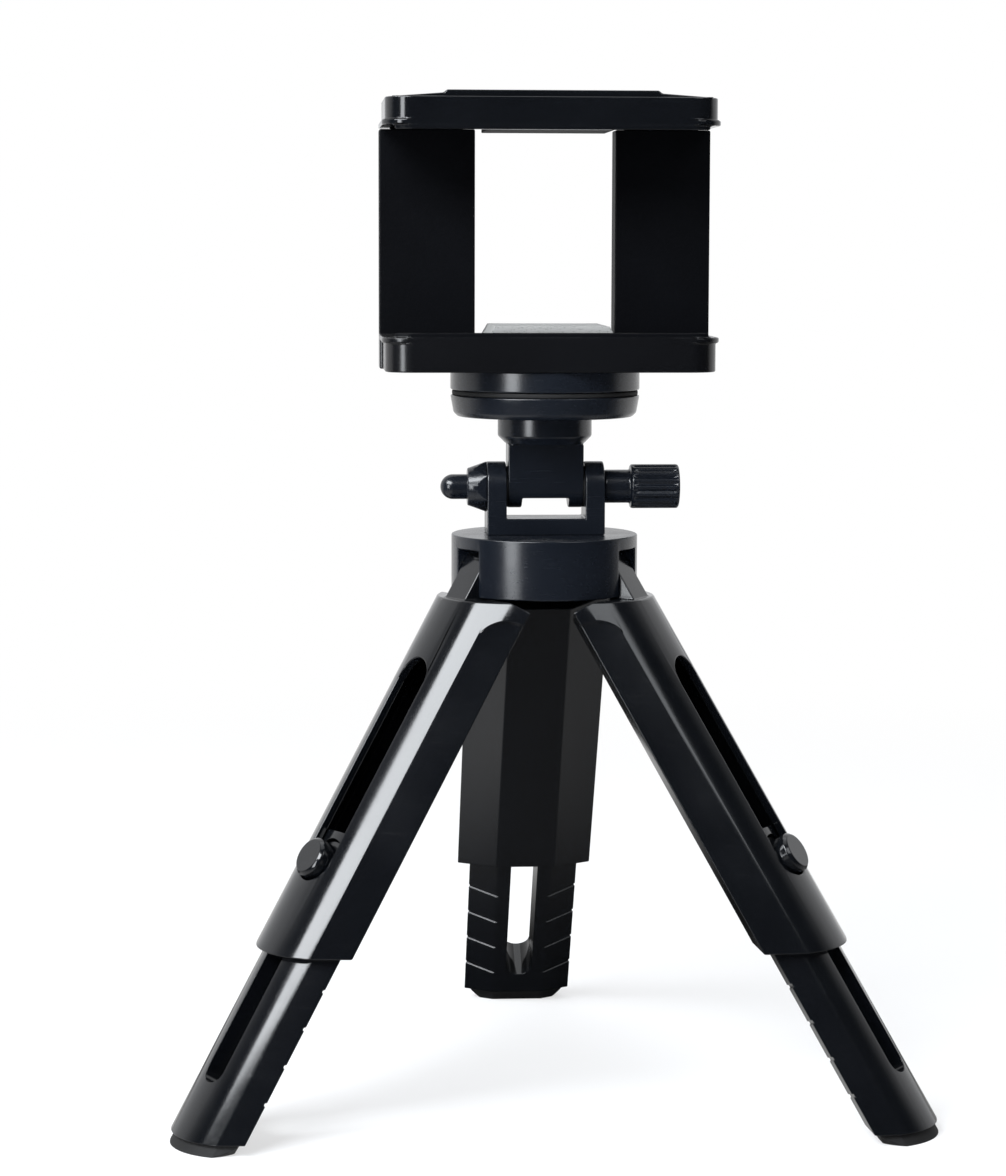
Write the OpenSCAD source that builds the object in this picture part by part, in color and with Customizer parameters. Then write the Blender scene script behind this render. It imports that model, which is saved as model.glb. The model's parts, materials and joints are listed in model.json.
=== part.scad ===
// Table-top phone tripod: three folding, telescoping legs, a pan and tilt head and a spring phone clamp.
// Millimetres, +Z up, the feet stand on z = 0 and the clamp faces -Y.

/* [Legs] */
// Length of an extended leg from its hinge to the floor
leg_length = 160; // [150:1:175]
// Angle of an opened leg from the vertical
leg_splay = 32.5; // [30:0.5:34]
// Radius of the round handle that the folded legs form
handle_radius = 22; // [21.8:0.1:22.3]
// Distance of a leg's side flats from the axis of the folded handle
flat_reach = 21.1; // [20.8:0.1:21.4]
// Angle between a side flat's normal and the outside of its leg
flat_angle = 52; // [50:0.5:54]
// Distance of a leg's inner flat from the axis of the folded handle
leg_core = 5; // [4.6:0.1:5.2]
// Half of the gap between neighbouring folded legs
leg_gap = 0.4; // [0.3:0.05:0.5]
// Rounding of a leg's shoulder under the hub
shoulder_radius = 3.5; // [3.1:0.1:3.9]
// Depth of that rounding's centre under the leg's top
shoulder_depth = 3.2; // [2.7:0.1:3.3]
// Room between the hub and a leg's shoulder
shoulder_gap = 0.3; // [0.2:0.05:0.5]
// Radius of the arch where a side flat runs out under the shoulder
arch_radius = 9.1; // [8.9:0.1:9.6]
// Distance from the hinge to where that arch begins
arch_drop = 21.4; // [20.8:0.1:22.5]
// Height of an outer leg's lower rim above the floor
rim_height = 44.5; // [42.5:0.5:48]
// Wall of an outer leg
leg_wall = 2; // [1.75:0.05:2.1]
// Room between an inner and an outer leg
leg_slide_gap = 0.3; // [0.2:0.05:0.4]
// Distance from the hinge to the inner end of an outer leg's hollow
hollow_drop = 23; // [22:0.5:24.5]
// Travel of an inner leg
leg_travel = 50; // [42:1:50]
// Distance from the hinge to the button of an extended leg
button_drop = 84.5; // [84:0.5:86.5]
// Length of an inner leg above its button
inner_leg_head = 8.7; // [8.2:0.1:9.1]
// Width of the slot through an inner leg
inner_slot_width = 7.2; // [5.8:0.1:7.7]
// Distance from the button to the slot through an inner leg
inner_slot_offset = 9.5; // [8:0.5:11]
// Length of the slot through an inner leg
inner_slot_length = 49; // [42:1:50]
// Spacing of the tick marks on an inner leg
tick_pitch = 9.9; // [9.1:0.1:10.2]
// Distance from the button to the first tick mark
tick_offset = 28.1; // [27:0.1:28.9]
// Number of tick marks on each side
tick_count = 4; // [3:1:4]
// Height of a tick mark
tick_height = 0.85; // [0.6:0.05:1.15]
// Depth of a tick mark
tick_depth = 0.4; // [0.3:0.05:0.6]

/* [Leg buttons and feet] */
// Diameter of a leg button
button_diameter = 10; // [9.2:0.1:10.2]
// Height of a button above its leg
button_rise = 2.1; // [1.75:0.05:2.3]
// Chamfer round the top of a button
button_chamfer = 0.75; // [0.4:0.05:1.15]
// Travel of a button
button_travel = 1.45; // [0.95:0.05:1.55]
// Width of the slot that the button shows in
slot_width = 11; // [10.8:0.1:11.4]
// Room round a button's flange and its spring
button_gap = 0.3; // [0.25:0.05:0.4]
// Diameter of the button's flange
flange_diameter = 12.7; // [12.5:0.1:13.1]
// Thickness of the button's flange
flange_thickness = 1.35; // [1.15:0.05:1.55]
// Room between the flange and the wall that holds it
flange_gap = 0.3; // [0.2:0.05:0.4]
// Outer diameter of the spring behind a button
button_spring_diameter = 6.2; // [5.8:0.1:6.5]
// Wire of the button spring
button_spring_wire = 0.65; // [0.6:0.05:0.75]
// Number of turns of the button spring
button_spring_turns = 4; // [3:1:4]
// Thickness of the floor behind the button spring
spring_floor = 1.95; // [1.55:0.05:2.1]
// Height of a rubber foot
foot_height = 2.9; // [2.4:0.1:3.9]
// Step between an inner leg and its rubber foot
foot_step = 1.15; // [0.75:0.05:1.55]
// Radius of the dome of a rubber foot
foot_dome = 17.5; // [16.5:0.5:19]
// Radius of the flat patch under a rubber foot
foot_patch = 10.6; // [10:0.1:11]
// Diameter of the stem that holds a rubber foot
foot_stem = 5.8; // [4:0.1:6.5]
// Length of that stem inside the leg
foot_stem_length = 5.8; // [5:0.1:7]

/* [Hub] */
// Radius of the hub
hub_radius = 23.2; // [22.7:0.1:24.1]
// Height of the hub
hub_height = 14.6; // [14.3:0.1:15.4]
// Thickness of the hub's top plate over the leg hinges
hub_plate = 3.1; // [2.7:0.1:3.2]
// Distance of a leg hinge from the hub's axis
hinge_reach = 17.9; // [17.7:0.1:18.1]
// Height of a leg hinge above the underside of the hub
hinge_rise = 8.2; // [7.9:0.1:8.3]
// Diameter of a leg pin
pin_diameter = 2.7; // [2.3:0.05:2.9]
// Half of the length of a leg pin
pin_reach = 8.3; // [7.7:0.1:8.5]
// Running fit of a pin or bolt in the piece that turns on it
running_fit = 0.05; // [0.02:0.01:0.08]
// Radius of a leg's hinge tongue
tongue_radius = 2.9; // [2.7:0.1:3]
// Width of a leg's hinge tongue
tongue_width = 8.9; // [8.3:0.1:9.2]
// Depth of the neck under the hinge tongue
tongue_neck = 5.6; // [5:0.1:5.6]
// Room beside the hinge tongue in its notch
notch_gap = 0.3; // [0.25:0.05:0.4]
// Radius of the plate that closes the hub from below
base_plate_radius = 21.7; // [21.4:0.1:21.8]
// Fit of parts that are seated in one another
seat_fit = 0.02; // [0.01:0.01:0.04]
// Distance of the base plate screws from the axis
base_screw_reach = 13.5; // [12.5:0.1:14]
// Diameter of the small assembly screws
small_screw = 2.3; // [1.95:0.05:2.5]
// Head diameter of the small assembly screws
small_head = 4.4; // [3.9:0.1:4.8]
// Head height of the small assembly screws
small_head_height = 1.55; // [1.25:0.05:1.75]
// Length of the small assembly screws under the head
small_screw_length = 8.7; // [8.1:0.1:9.6]
// Diameter of the screw that holds the fork
fork_screw = 3.9; // [3.4:0.1:4.2]
// Head diameter of the fork screw
fork_screw_head = 7.1; // [6.7:0.1:7.7]
// Head height of the fork screw
fork_screw_head_height = 2.5; // [2.1:0.05:2.9]
// Thickness of the bridge left above the fork screw
fork_screw_cover = 0.75; // [0.6:0.05:1.15]

/* [Tilt head] */
// Height of the tilt axis above the hub
tilt_rise = 11.7; // [11.2:0.1:12.6]
// Room between the two ears of the fork
fork_gap = 19.6; // [19.5:0.1:20.2]
// Thickness of an ear
ear_thickness = 4.8; // [4.4:0.1:5]
// Radius of an ear round the tilt axis
ear_radius = 6.3; // [6:0.1:6.5]
// Height of the bridge between the ears
bridge_height = 4.1; // [3.7:0.1:4.3]
// Depth of the fork's peg in the hub
fork_peg_depth = 1.95; // [1.45:0.05:2.4]
// Diameter of the fork's peg
fork_peg = 8.7; // [8.2:0.1:10.5]
// Width of the knuckle
knuckle_width = 18.7; // [18.3:0.1:18.8]
// Radius of the knuckle's prongs round the tilt axis
prong_radius = 5.2; // [4.8:0.1:5.4]
// Width of the gap between the prongs
prong_gap = 11.6; // [10.6:0.1:11.9]
// Distance from the tilt axis to the top of that gap
prong_web = 2.6; // [2.5:0.05:2.9]
// Height of the knuckle's block above the tilt axis
knuckle_rise = 10.8; // [10.6:0.1:11.8]
// Radius of the knuckle's collar
collar_radius = 11.7; // [11.4:0.1:12.3]
// Height of the collar
collar_height = 6.8; // [6.5:0.1:7.7]
// Chamfer under the collar
collar_chamfer = 1.95; // [1.35:0.05:2.3]
// Diameter of the tilt bolt
bolt_diameter = 3.9; // [3.4:0.1:4.2]
// Diameter of the tilt washers
washer_diameter = 10.2; // [8.7:0.1:10.6]
// Thickness of a tilt washer
washer_thickness = 0.4; // [0.3:0.02:0.42]
// Diameter of the thumb knob's neck
neck_diameter = 8.3; // [7.7:0.1:8.9]
// Length of the neck
neck_length = 6.7; // [5.8:0.1:7.7]
// Diameter of the thumb knob
knob_diameter = 11; // [10.2:0.1:11.6]
// Length of the thumb knob
knob_length = 12.1; // [11.6:0.1:13.5]
// Rounding at the ends of the knob
knob_round = 1.55; // [0.95:0.05:1.95]
// Room between the knob and the ear
knob_gap = 0.1; // [0.05:0.05:0.2]
// Depth of the bolt in the knob
bolt_in_knob = 13.5; // [11.5:0.5:14]
// Distance across the cap nut's corners at the ear
nut_corners = 12.5; // [11.9:0.1:12.9]
// Radius of the cap nut's taper at its outer end
nut_taper_end = 4.6; // [4.2:0.1:5]
// Thickness of the cap nut's hexagon
nut_thickness = 4.7; // [4.4:0.1:5.2]
// Diameter of the cap nut's dome
dome_diameter = 6.2; // [5.8:0.1:6.7]
// Length of the dome
dome_length = 6.7; // [6.4:0.1:7.3]
// Distance across the flats of the nut's key in the ear
nut_key = 6.7; // [6.2:0.1:7.3]
// Depth of that key
nut_key_depth = 2.3; // [1.95:0.05:2.9]
// Reach of the bolt into the cap nut's dome
bolt_in_dome = 3.5; // [2.9:0.1:3.9]

/* [Turntable] */
// Radius of the turntable's rings
ring_radius = 23.5; // [23:0.1:24]
// Height of the lower ring
base_ring_height = 5.3; // [4.8:0.1:6.3]
// Chamfer under the lower ring
base_ring_chamfer = 1.05; // [0.75:0.05:1.35]
// Taper of the lower ring towards its underside
base_ring_taper = 0.75; // [0.4:0.05:0.95]
// Height of the upper ring
top_ring_height = 5; // [4.6:0.1:5.8]
// Thickness of the friction ring between them
friction_height = 1.25; // [0.95:0.05:1.55]
// Step of the friction ring behind the rings
friction_step = 0.4; // [0.3:0.05:0.65]
// Width of the friction ring
friction_width = 12.5; // [10.5:0.5:13.5]
// Room between the friction ring and the upper ring
pan_gap = 0.1; // [0.05:0.05:0.2]
// Diameter of the pan stud
stud_diameter = 6.35; // [6:0.05:6.5]
// Distance across the flats of the stud's base
stud_key = 12.5; // [10.6:0.1:13]
// Height of the stud's base
stud_key_height = 3.9; // [2.9:0.1:4.8]
// Distance across the flats of the clamp's insert nut
insert_key = 12.5; // [10.6:0.1:13]
// Height of the insert nut
insert_height = 4.6; // [3.9:0.1:4.7]
// Room between the stud and its end of the insert nut
stud_end_gap = 0.4; // [0.2:0.1:0.8]
// Distance of the ring screws from the axis
ring_screw_reach = 15.4; // [14.4:0.1:16.4]
// Length of the ring screws under the head
ring_screw_length = 7.7; // [6.7:0.1:8.3]

/* [Clamp] */
// Width of the phone clamp
clamp_width = 82; // [80:0.5:85]
// Height of the closed clamp
clamp_height = 67.5; // [64:0.5:74]
// Reach of the jaws in front of the pan axis
jaw_front = 24.1; // [23.7:0.1:25]
// Reach of the jaws behind the pan axis
jaw_back = 9.6; // [9:0.1:11.6]
// Rounding of the jaws' front corners
jaw_corner = 6.7; // [5:0.1:7.5]
// Height of the lower jaw
lower_jaw_height = 8.4; // [7.8:0.1:9]
// Height of the upper jaw
upper_jaw_height = 6.7; // [6.2:0.1:7.4]
// Height of the crown on the upper jaw
crown_height = 1.6; // [1.3:0.1:2]
// Height of the crown's sloping ends
crown_shoulder = 0.9; // [0.6:0.1:1.2]
// Width of the crown's flat middle
crown_flat = 51; // [48:0.5:54]
// Width of the crown
crown_width = 77; // [72:0.5:78]
// Depth of the crown
crown_depth = 32; // [29:0.5:33]
// Height of the lip along the front of each jaw
lip_height = 1.15; // [0.75:0.05:1.55]
// Depth of the lip
lip_depth = 1.75; // [1.35:0.05:2.3]
// Overhang of the rim at the inner edge of each jaw
rim_overhang = 0.75; // [0.5:0.05:0.95]
// Thickness of that rim
rim_thickness = 1.35; // [0.95:0.05:1.75]
// Width of a column
column_width = 23.6; // [23.1:0.1:24.1]
// Depth of a column
column_depth = 8.7; // [8.5:0.1:9.2]
// Front wall of a column
column_wall = 1.75; // [1.45:0.05:1.95]
// Width of the slide that runs in a column
slide_width = 17.9; // [16.9:0.1:18.3]
// Depth of the slide
slide_depth = 4.6; // [4.4:0.1:4.8]
// Length of the slide left in its column when the clamp is open
slide_hold = 13.5; // [11.5:0.5:14]
// Room round the slide
slide_gap = 0.3; // [0.2:0.05:0.4]
// Travel of the upper jaw
jaw_travel = 27; // [23:1:27]
// Room between the columns and the closed upper jaw
jaw_gap = 0.3; // [0.2:0.05:0.5]
// Thickness of a column's rear cover
cover_thickness = 1.45; // [1.15:0.05:1.65]
// Width of a rear cover
cover_width = 21; // [20.6:0.1:21.8]
// Height of the cover screws above the lower jaw
cover_screw_rise = 2.2; // [1.95:0.05:2.4]
// Distance of a cover screw from the middle of its column
cover_screw_reach = 6.7; // [5.8:0.1:7.3]
// Diameter of the cover screws
cover_screw = 1.55; // [1.35:0.05:1.75]
// Head diameter of the cover screws
cover_head = 2.7; // [2.3:0.05:2.9]
// Head height of the cover screws
cover_head_height = 0.75; // [0.6:0.05:0.95]
// Length of the cover screws under the head
cover_screw_length = 3.9; // [2.9:0.1:4.8]
// Room between a jaw pad and each column
pad_side_gap = 1.95; // [1.4:0.05:2.9]
// Thickness of the lower pad
lower_pad = 2.7; // [1.95:0.05:3.1]
// Thickness of the upper pad
upper_pad = 0.95; // [0.75:0.05:1.35]
// Bevel at the ends of the lower pad
pad_bevel = 1.55; // [0.95:0.05:1.75]
// Distance of a pad from the back of its jaw
pad_back = 1.45; // [0.95:0.05:2.4]
// Room between a pad and the lip in front of it
pad_gap = 0.4; // [0.3:0.1:0.8]
// Outer diameter of a clamp spring
clamp_spring_diameter = 3.9; // [3.5:0.1:4]
// Wire of a clamp spring
clamp_spring_wire = 0.75; // [0.65:0.05:0.85]
// Number of turns of a clamp spring
clamp_spring_turns = 15; // [12:1:16]
// Width of the spring's channel in the slide
channel_width = 4.8; // [4.6:0.1:5.2]
// Thickness of the slide above that channel
channel_cover = 1.95; // [1.45:0.05:2.4]
// Diameter of the pins that hold the clamp springs
spring_pin = 1.55; // [1.35:0.05:1.75]
// Depth of a spring pin's end in its wall
spring_pin_seat = 1.45; // [1.15:0.05:1.55]
// Distance of the lower spring pins from the slide's lower end
lower_pin_drop = 1.95; // [1.75:0.05:2.3]
// Distance of the upper spring pins from the upper jaw
upper_pin_drop = 3.9; // [2.9:0.1:4.8]

/* [Hidden] */
$fn = 48;
eps = 0.01;
half = 1 / 2;
leg_half_angle = 60;
spring_sides = 6;
spring_rings = 8;
leg_angles = [90, 210, 330];
plastic = "#1b1c20";
dark = "#101114";
grey = "#6f7276";
steel = "#9a9c9f";
brass = "#b08d45";

hinge_z = leg_length * cos(leg_splay);
hub_z = hinge_z - hinge_rise;
hub_top = hub_z + hub_height;
tilt_z = hub_top + tilt_rise;
collar_z = tilt_z + knuckle_rise;
base_ring_z = collar_z + collar_height;
friction_z = base_ring_z + base_ring_height;
top_ring_z = friction_z + friction_height + pan_gap;
clamp_z = top_ring_z + top_ring_height;
lower_jaw_z = clamp_z + lower_jaw_height;
upper_jaw_z = clamp_z + clamp_height - crown_height - upper_jaw_height;
column_top = upper_jaw_z - jaw_gap;
stud_end = clamp_z + insert_height - stud_end_gap;
bridge_z = hub_top + bridge_height;
far = leg_length + clamp_height;

leg_top = -hinge_rise - shoulder_gap;
shoulder_y = handle_radius - shoulder_radius;
shoulder_z = (leg_top - shoulder_depth - (shoulder_y - hinge_reach) * sin(leg_splay)) / cos(leg_splay);
shoulder_edge = shoulder_y + shoulder_radius * sin(leg_splay);
blank_length = leg_length + handle_radius;
inner_inset = leg_wall + leg_slide_gap;
inner_core = leg_core + inner_inset;
inner_radius = handle_radius - inner_inset;
inner_top = inner_leg_head - button_drop;
inner_slot_z = -button_drop - inner_slot_offset - inner_slot_length * half;

slot_z = leg_travel * half - button_drop;
flange_half = flange_diameter * half;
flange_top = sqrt(pow(handle_radius - leg_wall, 2) - pow(flange_half, 2)) - flange_gap;
flange_base = flange_top - flange_thickness;
button_top = handle_radius + button_rise;
pocket_floor = flange_base - button_travel - flange_gap;
pocket_diameter = flange_diameter + 2 * button_gap;
spring_seat = inner_core + spring_floor;
spring_bore = button_spring_diameter + 2 * button_gap;
button_spring_length = flange_base - spring_seat - button_spring_wire - 2 * seat_fit;
foot_middle = (inner_radius + inner_core) * half;
foot_centre_z = sqrt(pow(foot_dome, 2) - pow(foot_patch, 2));

// Distance from the hub's axis at which a line down an opened leg meets a level above the floor.
function open_reach(y, level) =
    hinge_reach + (y - hinge_reach) / cos(leg_splay) + (hinge_z - level) * tan(leg_splay);

// Place of that level on the same line of the folded leg.
function folded_z(y, level) =
    (level - hinge_z - (y - hinge_reach) * sin(leg_splay)) / cos(leg_splay);

// Half width of a leg's space between its neighbours at a distance from the handle's axis.
function wedge(y, inset) = y * tan(leg_half_angle) - (leg_gap + inset) / cos(leg_half_angle);

// Corner of a leg's section between its side flat and its wedge face, inset evenly.
function flat_corner(inset) =
    let (across = leg_gap + inset)
    let (x = (flat_reach - inset - across * cos(flat_angle) / sin(leg_half_angle))
        / (sin(flat_angle) + cos(flat_angle) / tan(leg_half_angle)))
    [x, (x + across / cos(leg_half_angle)) / tan(leg_half_angle)];

leg_corner = flat_corner(0);
inner_corner = flat_corner(inner_inset);
arch_middle = leg_corner.y * sin(flat_angle) - leg_corner.x * cos(flat_angle);
back_reach = open_reach(inner_radius - foot_step, 0);
front_reach = open_reach(inner_corner.y, foot_height) * cos(leg_half_angle)
    + inner_corner.x * sin(leg_half_angle);
axis_y = (front_reach - back_reach) * half;

jaw_half = clamp_width * half - rim_overhang;
column_x = (clamp_width - column_width) * half;
pad_width = clamp_width - 2 * (column_width + pad_side_gap);
column_front = jaw_back - column_depth;
cavity_front = column_front + column_wall;
cavity_width = slide_width + 2 * slide_gap;
slide_front = cavity_front + slide_gap;
slide_length = jaw_travel + slide_hold;
slide_middle = slide_front + slide_depth * half;
slide_z = upper_jaw_z - slide_length;
lower_pin_z = slide_z - lower_pin_drop;
upper_pin_z = upper_jaw_z - upper_pin_drop;
cavity_z = lower_pin_z - spring_pin;
cover_front = jaw_back - cover_thickness;
pad_front = lip_depth + pad_gap - jaw_front;
pad_depth = jaw_back - pad_back - pad_front;
clamp_spring_z = lower_pin_z + (spring_pin + clamp_spring_wire) * half + seat_fit;
clamp_spring_length = upper_pin_z - (spring_pin + clamp_spring_wire) * half - seat_fit - clamp_spring_z;
ear_outside = fork_gap * half + ear_thickness;

// Places a head or hub piece on the tripod's axis at a height.
module on_axis(z) {
    translate([0, axis_y, z]) children();
}

// Turns the space of one leg, whose outside faces +Y, to its place round the hub.
module round_hub(index) {
    rotate(leg_angles[index] - 90) children();
}

// Places a leg piece, drawn folded with its hinge at z = 0, at its leg of the opened tripod.
module on_leg(index) {
    on_axis(hinge_z)
        round_hub(index)
            translate([0, hinge_reach, 0])
                rotate([leg_splay, 0, 0])
                    translate([0, -hinge_reach, 0])
                        children();
}

// The space between two levels above the floor, in the frame of the folded leg.
module between_levels(low, high) {
    translate([0, hinge_reach, 0])
        rotate([-leg_splay, 0, 0])
            translate([-far, -far, low - hinge_z])
                cube([2 * far, 2 * far, high - low]);
}

// A cylinder along X, centred.
module rod_x(diameter, length) {
    rotate([0, 90, 0]) cylinder(d = diameter, h = length, center = true);
}

// A cylinder along Y between two distances.
module rod_y(diameter, from, to) {
    translate([0, from, 0]) rotate([-90, 0, 0]) cylinder(d = diameter, h = to - from);
}

// A hexagonal prism along Z, given across its flats.
module hexagon(flats, height) {
    cylinder(r = flats * half / cos(30), h = height, $fn = 6);
}

// Extrudes an outline of the YZ plane along X, from x = 0.
module along_x(length) {
    rotate([90, 0, 90]) linear_extrude(length) children();
}

// A round lug of the YZ plane with a straight stem, up or down, from its centre.
module lug_outline(radius, stem) {
    circle(r = radius);
    translate([-radius, min(stem, 0)]) square([2 * radius, abs(stem)]);
}

// A slot with round ends that is cut along Y, centred on its length.
module slot_cut(width, length, from) {
    translate([0, from, 0])
        rotate([-90, 0, 0])
            linear_extrude(handle_radius) {
                square([width, length - width], center = true);
                for (side = [-1, 1])
                    translate([0, side * (length - width) * half]) circle(d = width);
            }
}

// A pan head screw along Z, its head below z = 0.
module screw(diameter, length, head_diameter, head_height) {
    cylinder(d = diameter, h = length);
    translate([0, 0, -head_height]) cylinder(d = head_diameter, h = head_height);
}

// Points of a coil along Z, and the least room between its turns.
function coil_point(radius, length, turns, step) =
    let (angle = 360 * step / spring_rings)
    [radius * cos(angle), radius * sin(angle), length * step / (spring_rings * turns)];
function coil_gap(diameter, wire, turns, length) =
    let (radius = (diameter - wire) * half)
    min([for (step = [0 : spring_rings * (turns - 1)])
        let (here = coil_point(radius, length, turns, step))
        norm(coil_point(radius, length, turns, step + spring_rings) - here)]) - wire;

// A coil spring of round wire along Z, with its ends cut square.
module coil_spring(diameter, wire, turns, length) {
    radius = (diameter - wire) * half;
    steps = spring_rings * turns;
    points = [for (step = [0 : steps], side = [0 : spring_sides - 1])
        let (angle = 360 * step / spring_rings, turn = 360 * side / spring_sides)
        let (out = wire * half * cos(turn), up = wire * half * sin(turn))
        coil_point(radius, length, turns, step) + [out * cos(angle), out * sin(angle), up]];
    walls = [for (step = [0 : steps - 1], side = [0 : spring_sides - 1])
        let (a = step * spring_sides + side, b = step * spring_sides + (side + 1) % spring_sides)
        each [[a, a + spring_sides, b], [b, a + spring_sides, b + spring_sides]]];
    last = steps * spring_sides;
    start_cap = [for (side = [1 : spring_sides - 2]) [0, side, side + 1]];
    end_cap = [for (side = [1 : spring_sides - 2]) [last, last + side + 1, last + side]];
    polyhedron(points, concat(walls, start_cap, end_cap));
}

echo(clamp_spring_gap =
    coil_gap(clamp_spring_diameter, clamp_spring_wire, clamp_spring_turns, clamp_spring_length));
echo(button_spring_gap =
    coil_gap(button_spring_diameter, button_spring_wire, button_spring_turns, button_spring_length));

// Section of a leg's body: round outside, two side flats, two wedge faces and an inner flat, inset evenly.
module leg_section(inset) {
    core = leg_core + inset;
    corner = flat_corner(inset);
    intersection() {
        circle(r = handle_radius - inset);
        polygon([[-wedge(core, inset), core], [wedge(core, inset), core], corner,
            [0, (flat_reach - inset) / cos(flat_angle)], [-corner.x, corner.y]]);
    }
}

// A leg's length of a section, down from a level of the folded leg.
module down_leg(top) {
    translate([0, 0, -blank_length]) linear_extrude(blank_length + top) children();
}

// Side outline of a leg, rounded at its shoulder.
module shoulder_outline() {
    translate([0, -blank_length]) square([shoulder_edge, blank_length + leg_top]);
    translate([0, -blank_length]) square([handle_radius, blank_length + shoulder_z]);
    translate([shoulder_y, shoulder_z]) circle(r = shoulder_radius);
}

// A third of the handle between its neighbours, without side flats, that clears the hub folded and open.
module leg_third() {
    difference() {
        intersection() {
            down_leg(leg_top)
                intersection() {
                    circle(r = handle_radius);
                    polygon([[-wedge(leg_core, 0), leg_core], [wedge(leg_core, 0), leg_core],
                        [wedge(handle_radius, 0), handle_radius], [-wedge(handle_radius, 0), handle_radius]]);
                }
            translate([-handle_radius, 0, 0]) along_x(2 * handle_radius) shoulder_outline();
        }
        between_levels(hub_z - shoulder_gap, hub_z + far);
    }
}

// The space beside a leg's right side flat, with an arched upper end.
module side_cut() {
    rotate(90 - flat_angle)
        translate([flat_reach, 0, 0])
            along_x(handle_radius) {
                translate([-handle_radius, -arch_drop - blank_length])
                    square([2 * handle_radius, blank_length]);
                translate([arch_middle, -arch_drop]) circle(r = arch_radius);
            }
}

module leg_outer(index) {
    color(plastic) on_leg(index)
        difference() {
            union() {
                difference() {
                    leg_third();
                    side_cut();
                    mirror([1, 0, 0]) side_cut();
                    between_levels(-far, rim_height);
                }
                translate([0, hinge_reach, 0]) rod_x(2 * tongue_radius, tongue_width);
                translate([-tongue_width * half, hinge_reach - tongue_neck * half, shoulder_z])
                    cube([tongue_width, tongue_neck, -shoulder_z]);
            }
            translate([0, hinge_reach, 0]) rod_x(pin_diameter + 2 * running_fit, handle_radius);
            down_leg(-hollow_drop) leg_section(leg_wall);
            translate([0, 0, slot_z]) slot_cut(slot_width, leg_travel + slot_width, flange_top);
        }
}

// Tick marks across the right wedge face of an inner leg.
module ticks() {
    rotate(90 - leg_half_angle)
        for (number = [0 : tick_count - 1])
            translate([0, leg_gap, -button_drop - tick_offset - number * tick_pitch])
                cube([handle_radius, inner_inset + tick_depth, tick_height]);
}

module leg_inner(index) {
    color(dark) on_leg(index)
        difference() {
            down_leg(inner_top) leg_section(inner_inset);
            between_levels(-far, foot_height);
            translate([0, 0, inner_slot_z]) slot_cut(inner_slot_width, inner_slot_length, 0);
            translate([0, 0, -button_drop]) {
                rod_y(pocket_diameter, pocket_floor, handle_radius);
                rod_y(spring_bore, spring_seat, handle_radius);
            }
            ticks();
            mirror([1, 0, 0]) ticks();
            translate([0, foot_middle, -blank_length])
                cylinder(d = foot_stem + 2 * seat_fit,
                    h = blank_length + folded_z(foot_middle, foot_height) + foot_stem_length + seat_fit);
        }
}

module leg_button(index) {
    radius = button_diameter * half;
    color(plastic) on_leg(index)
        translate([0, 0, -button_drop])
            rotate([-90, 0, 0])
                rotate_extrude()
                    polygon([[0, flange_base], [flange_half, flange_base], [flange_half, flange_top],
                        [radius, flange_top], [radius, button_top - button_chamfer],
                        [radius - button_chamfer, button_top], [0, button_top]]);
}

module button_spring(index) {
    color(steel) on_leg(index)
        translate([0, spring_seat + button_spring_wire * half + seat_fit, -button_drop])
            rotate([-90, 0, 0])
                coil_spring(button_spring_diameter, button_spring_wire, button_spring_turns,
                    button_spring_length);
}

module foot_pad(index) {
    stem_z = folded_z(foot_middle, foot_height * half);
    color(dark) {
        intersection() {
            on_leg(index) down_leg(inner_top) leg_section(inner_inset + foot_step);
            on_leg(index) between_levels(0, foot_height);
            on_axis(foot_centre_z)
                round_hub(index)
                    translate([0, open_reach(foot_middle, foot_height * half), 0])
                        sphere(r = foot_dome);
        }
        on_leg(index)
            translate([0, foot_middle, stem_z])
                cylinder(d = foot_stem, h = folded_z(foot_middle, foot_height) + foot_stem_length - stem_z);
    }
}

module leg_pin(index) {
    color(steel) on_axis(hinge_z) round_hub(index)
        translate([0, hinge_reach, 0]) rod_x(pin_diameter, 2 * pin_reach);
}

// The notch for a leg's hinge tongue and the groove for its pin, in the hub from its underside.
module hinge_space(index) {
    width = tongue_width + 2 * notch_gap;
    round_hub(index) {
        translate([-width * half, hinge_reach - tongue_radius - notch_gap, -eps])
            cube([width, hub_radius, hub_height - hub_plate + eps]);
        translate([0, hinge_reach, hinge_rise])
            rod_x(pin_diameter + 2 * seat_fit, 2 * (pin_reach + seat_fit));
    }
}

// Places what sits between the legs, opposite each of them.
module between_legs(reach) {
    for (angle = leg_angles) rotate(angle) translate([-reach, 0, 0]) children();
}

module hub_body() {
    color(plastic) on_axis(hub_z)
        difference() {
            cylinder(r = hub_radius, h = hub_height);
            translate([0, 0, -eps]) cylinder(r = base_plate_radius + seat_fit, h = hinge_rise + eps);
            for (index = [0 : 2]) hinge_space(index);
            translate([0, 0, hub_height - fork_peg_depth])
                cylinder(d = fork_peg + 2 * seat_fit, h = fork_peg_depth + eps);
            cylinder(d = fork_screw + 2 * seat_fit, h = hub_height);
            cylinder(d = fork_screw_head + 2 * seat_fit, h = hinge_rise + fork_screw_head_height + seat_fit);
            between_legs(base_screw_reach)
                cylinder(d = small_screw + 2 * seat_fit,
                    h = small_head_height + small_screw_length + seat_fit);
        }
}

module hub_base_plate() {
    color(plastic) on_axis(hub_z)
        difference() {
            cylinder(r = base_plate_radius, h = hinge_rise);
            for (index = [0 : 2]) hinge_space(index);
            between_legs(base_screw_reach) {
                translate([0, 0, -eps]) cylinder(d = small_screw + 2 * seat_fit, h = hinge_rise + 2 * eps);
                translate([0, 0, -eps]) cylinder(d = small_head + 2 * seat_fit, h = small_head_height + eps);
            }
        }
}

module base_plate_screws() {
    color(steel) on_axis(hub_z + small_head_height)
        between_legs(base_screw_reach) screw(small_screw, small_screw_length, small_head, small_head_height);
}

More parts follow.
